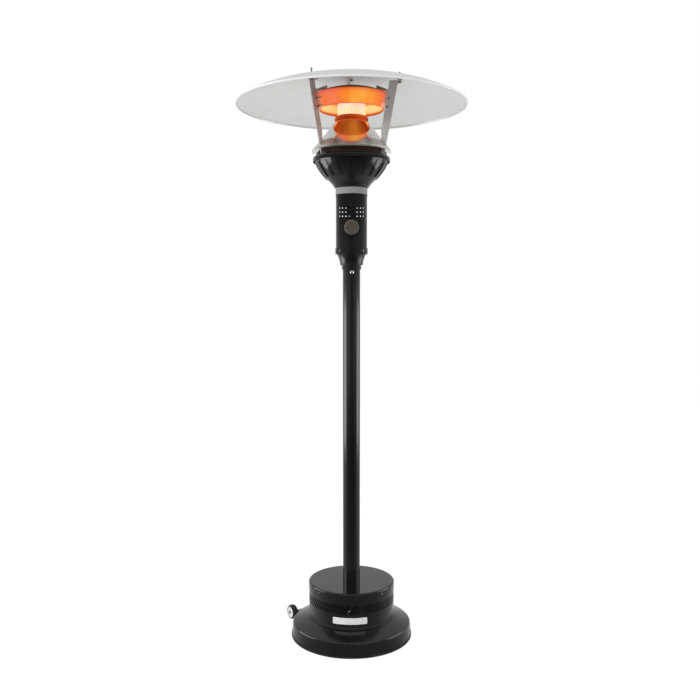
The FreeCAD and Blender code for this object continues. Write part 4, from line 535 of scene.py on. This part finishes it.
def makeFloor(p):
    half, low = p["size"] / 2, -p["sink"]
    mesh = bpy.data.meshes.new("floor")
    mesh.from_pydata([(-half, -half, low), (half, -half, low), (half, half, low), (-half, half, low)], [],
                     [(0, 1, 2, 3)])
    floor = bpy.data.objects.new("floor", mesh)
    scene.collection.objects.link(floor)
    mat, tree = newMaterial("floor_paper")
    spot = fromAxis(tree)
    far = length(tree, spot)
    back = addNode(tree, "SeparateXYZ", {0: spot}).outputs[1]
    behind = calc(tree, "DIVIDE", back, calc(tree, "ADD", far, p["axisGap"]))
    behind = span(tree, behind, 0.0, 1.0, -1.0, 1.0)
    level = ramp(tree, behind, [(at, grey(v)) for at, v in p["mirrorRound"]])
    fade = span(tree, far, 0.0, 1.0, *p["frontSpan"])
    front = span(tree, behind, 1.0 - p["frontLeast"], 0.0, *p["frontEdge"])
    kept = calc(tree, "SUBTRACT", 1.0, calc(tree, "MULTIPLY", fade, front))
    mirrored = addNode(tree, "Emission", {"Color": level, "Strength": kept}).outputs[0]
    mottle = noise(tree, place(tree), p["mottleScale"], detail=4)
    paper = blendColour(tree, span(tree, mottle, 0.0, 1.0), p["paper"], p["mottle"])
    matt = addNode(tree, "BsdfDiffuse", {"Color": paper}).outputs[0]
    lit = span(tree, far, *p["glowLevels"], *p["glowSpan"])
    glow = addNode(tree, "Emission", {"Strength": lit}).outputs[0]
    seen = addNode(tree, "AddShader", {0: matt, 1: glow}).outputs[0]
    ray = addNode(tree, "LightPath").outputs["Is Camera Ray"]
    both = addNode(tree, "MixShader", {0: ray, 1: mirrored, 2: seen}).outputs[0]
    addNode(tree, "OutputMaterial", {0: both})
    mesh.materials.append(mat)


# Light round the horizon: from behind, past the left, the camera's side and the right, to behind again.
# The low band is near the horizon, the high one above the side boxes, the ceiling is further up. The camera
# sees white
roomValues = {
    "low": [(0.0, 0.85), (0.16, 0.85), (0.33, 0.8), (0.41, 0.7), (0.455, 0.35), (0.49, 0.10), (0.53, 0.16),
            (0.57, 0.38), (0.61, 0.55), (0.68, 0.65), (0.84, 0.8), (1.0, 0.85)],
    "high": [(0.0, 0.75), (0.14, 0.6), (0.23, 0.25), (0.29, 0.1), (0.4, 0.05), (0.49, 0.14), (0.6, 0.10),
             (0.72, 0.2), (0.77, 0.45), (0.86, 0.6), (1.0, 0.75)],
    "ceiling": 0.66, "bandEnds": (0.01, 0.07), "ceilingFrom": (0.15, 0.42),
}


def makeRoom(p):
    world = bpy.data.worlds.new("studio")
    scene.world = world
    world.use_nodes = True
    tree = world.node_tree
    tree.nodes.clear()
    x, y, up = addNode(tree, "SeparateXYZ", {0: addNode(tree, "TexCoord").outputs["Generated"]}).outputs
    turn = calc(tree, "ARCTAN2", x, calc(tree, "MULTIPLY", y, -1.0))
    fac = span(tree, turn, 0.0, 1.0, -math.pi, math.pi)
    low = ramp(tree, fac, [(at, grey(v)) for at, v in p["low"]])
    high = ramp(tree, fac, [(at, grey(v)) for at, v in p["high"]])
    light = blendColour(tree, span(tree, up, 0.0, 1.0, *p["bandEnds"]), low, high)
    light = blendColour(tree, span(tree, up, 0.0, 1.0, *p["ceilingFrom"]), light, grey(p["ceiling"]))
    seen = addNode(tree, "LightPath").outputs["Is Camera Ray"]
    colour = blendColour(tree, seen, light, grey(1.0))
    shade = addNode(tree, "Background", {"Color": colour, "Strength": 1.0})
    addNode(tree, "OutputWorld", {0: shade.outputs[0]})


# Lamps: power in watts, width and height in metres. Two soft boxes stand beside the heater. On the camera's
# side two lamps high up and a wider one low down light the matt parts, and polished parts don't mirror them
lampValues = {
    "leftBox": {"shape": "RECTANGLE", "size": (1.7, 1.0), "at": (-2.3, 0.1, 0.85),
                "towards": (0.0, 0.0, 0.85), "power": 24.0, "mirrored": True},
    "rightBox": {"shape": "RECTANGLE", "size": (1.6, 1.0), "at": (2.3, 0.1, 0.85),
                 "towards": (0.0, 0.0, 0.85), "power": 15.5, "mirrored": True},
    "highLeft": {"shape": "DISK", "size": (0.3, 0.3), "at": (-2.3, -2.1, 2.6),
                 "towards": (0.0, 0.0, 1.5), "power": 28.0, "mirrored": False},
    "highRight": {"shape": "DISK", "size": (0.3, 0.3), "at": (2.3, -2.1, 2.6),
                  "towards": (0.0, 0.0, 1.5), "power": 22.0, "mirrored": False},
    "lowLamp": {"shape": "DISK", "size": (0.6, 0.6), "at": (-0.9, -2.4, 0.45),
                "towards": (0.0, 0.0, 0.15), "power": 30.0, "mirrored": False},
}


def makeLamp(name, p):
    data = bpy.data.lights.new(name, "AREA")
    data.shape = p["shape"]
    data.size, data.size_y = p["size"]
    data.energy = p["power"]
    lamp = bpy.data.objects.new(name, data)
    scene.collection.objects.link(lamp)
    lamp.location = p["at"]
    x, y, z = (a - b for a, b in zip(p["at"], p["towards"]))
    lamp.rotation_euler = (math.atan2(math.hypot(x, y), z), 0, math.atan2(y, x) + math.pi / 2)
    lamp.visible_glossy = p["mirrored"]


# Fitted to the photograph's view: lens and film width in millimetres, down is the tilt in degrees
cameraValues = {"lens": 41.74, "film": 36.0, "at": (-0.00604, -3.277, 1.395), "down": 3.851}


def makeCamera(p):
    data = bpy.data.cameras.new("camera")
    data.lens = p["lens"]
    data.sensor_width = p["film"]
    camera = bpy.data.objects.new("camera", data)
    camera.location = p["at"]
    camera.rotation_euler = (math.radians(90 - p["down"]), 0, 0)
    scene.collection.objects.link(camera)
    scene.camera = camera


makeFloor(floorValues)
makeRoom(roomValues)
for lampName, values in lampValues.items():
    makeLamp(lampName, values)
makeCamera(cameraValues)
scene.view_settings.view_transform = "Standard"
print("stage ready")
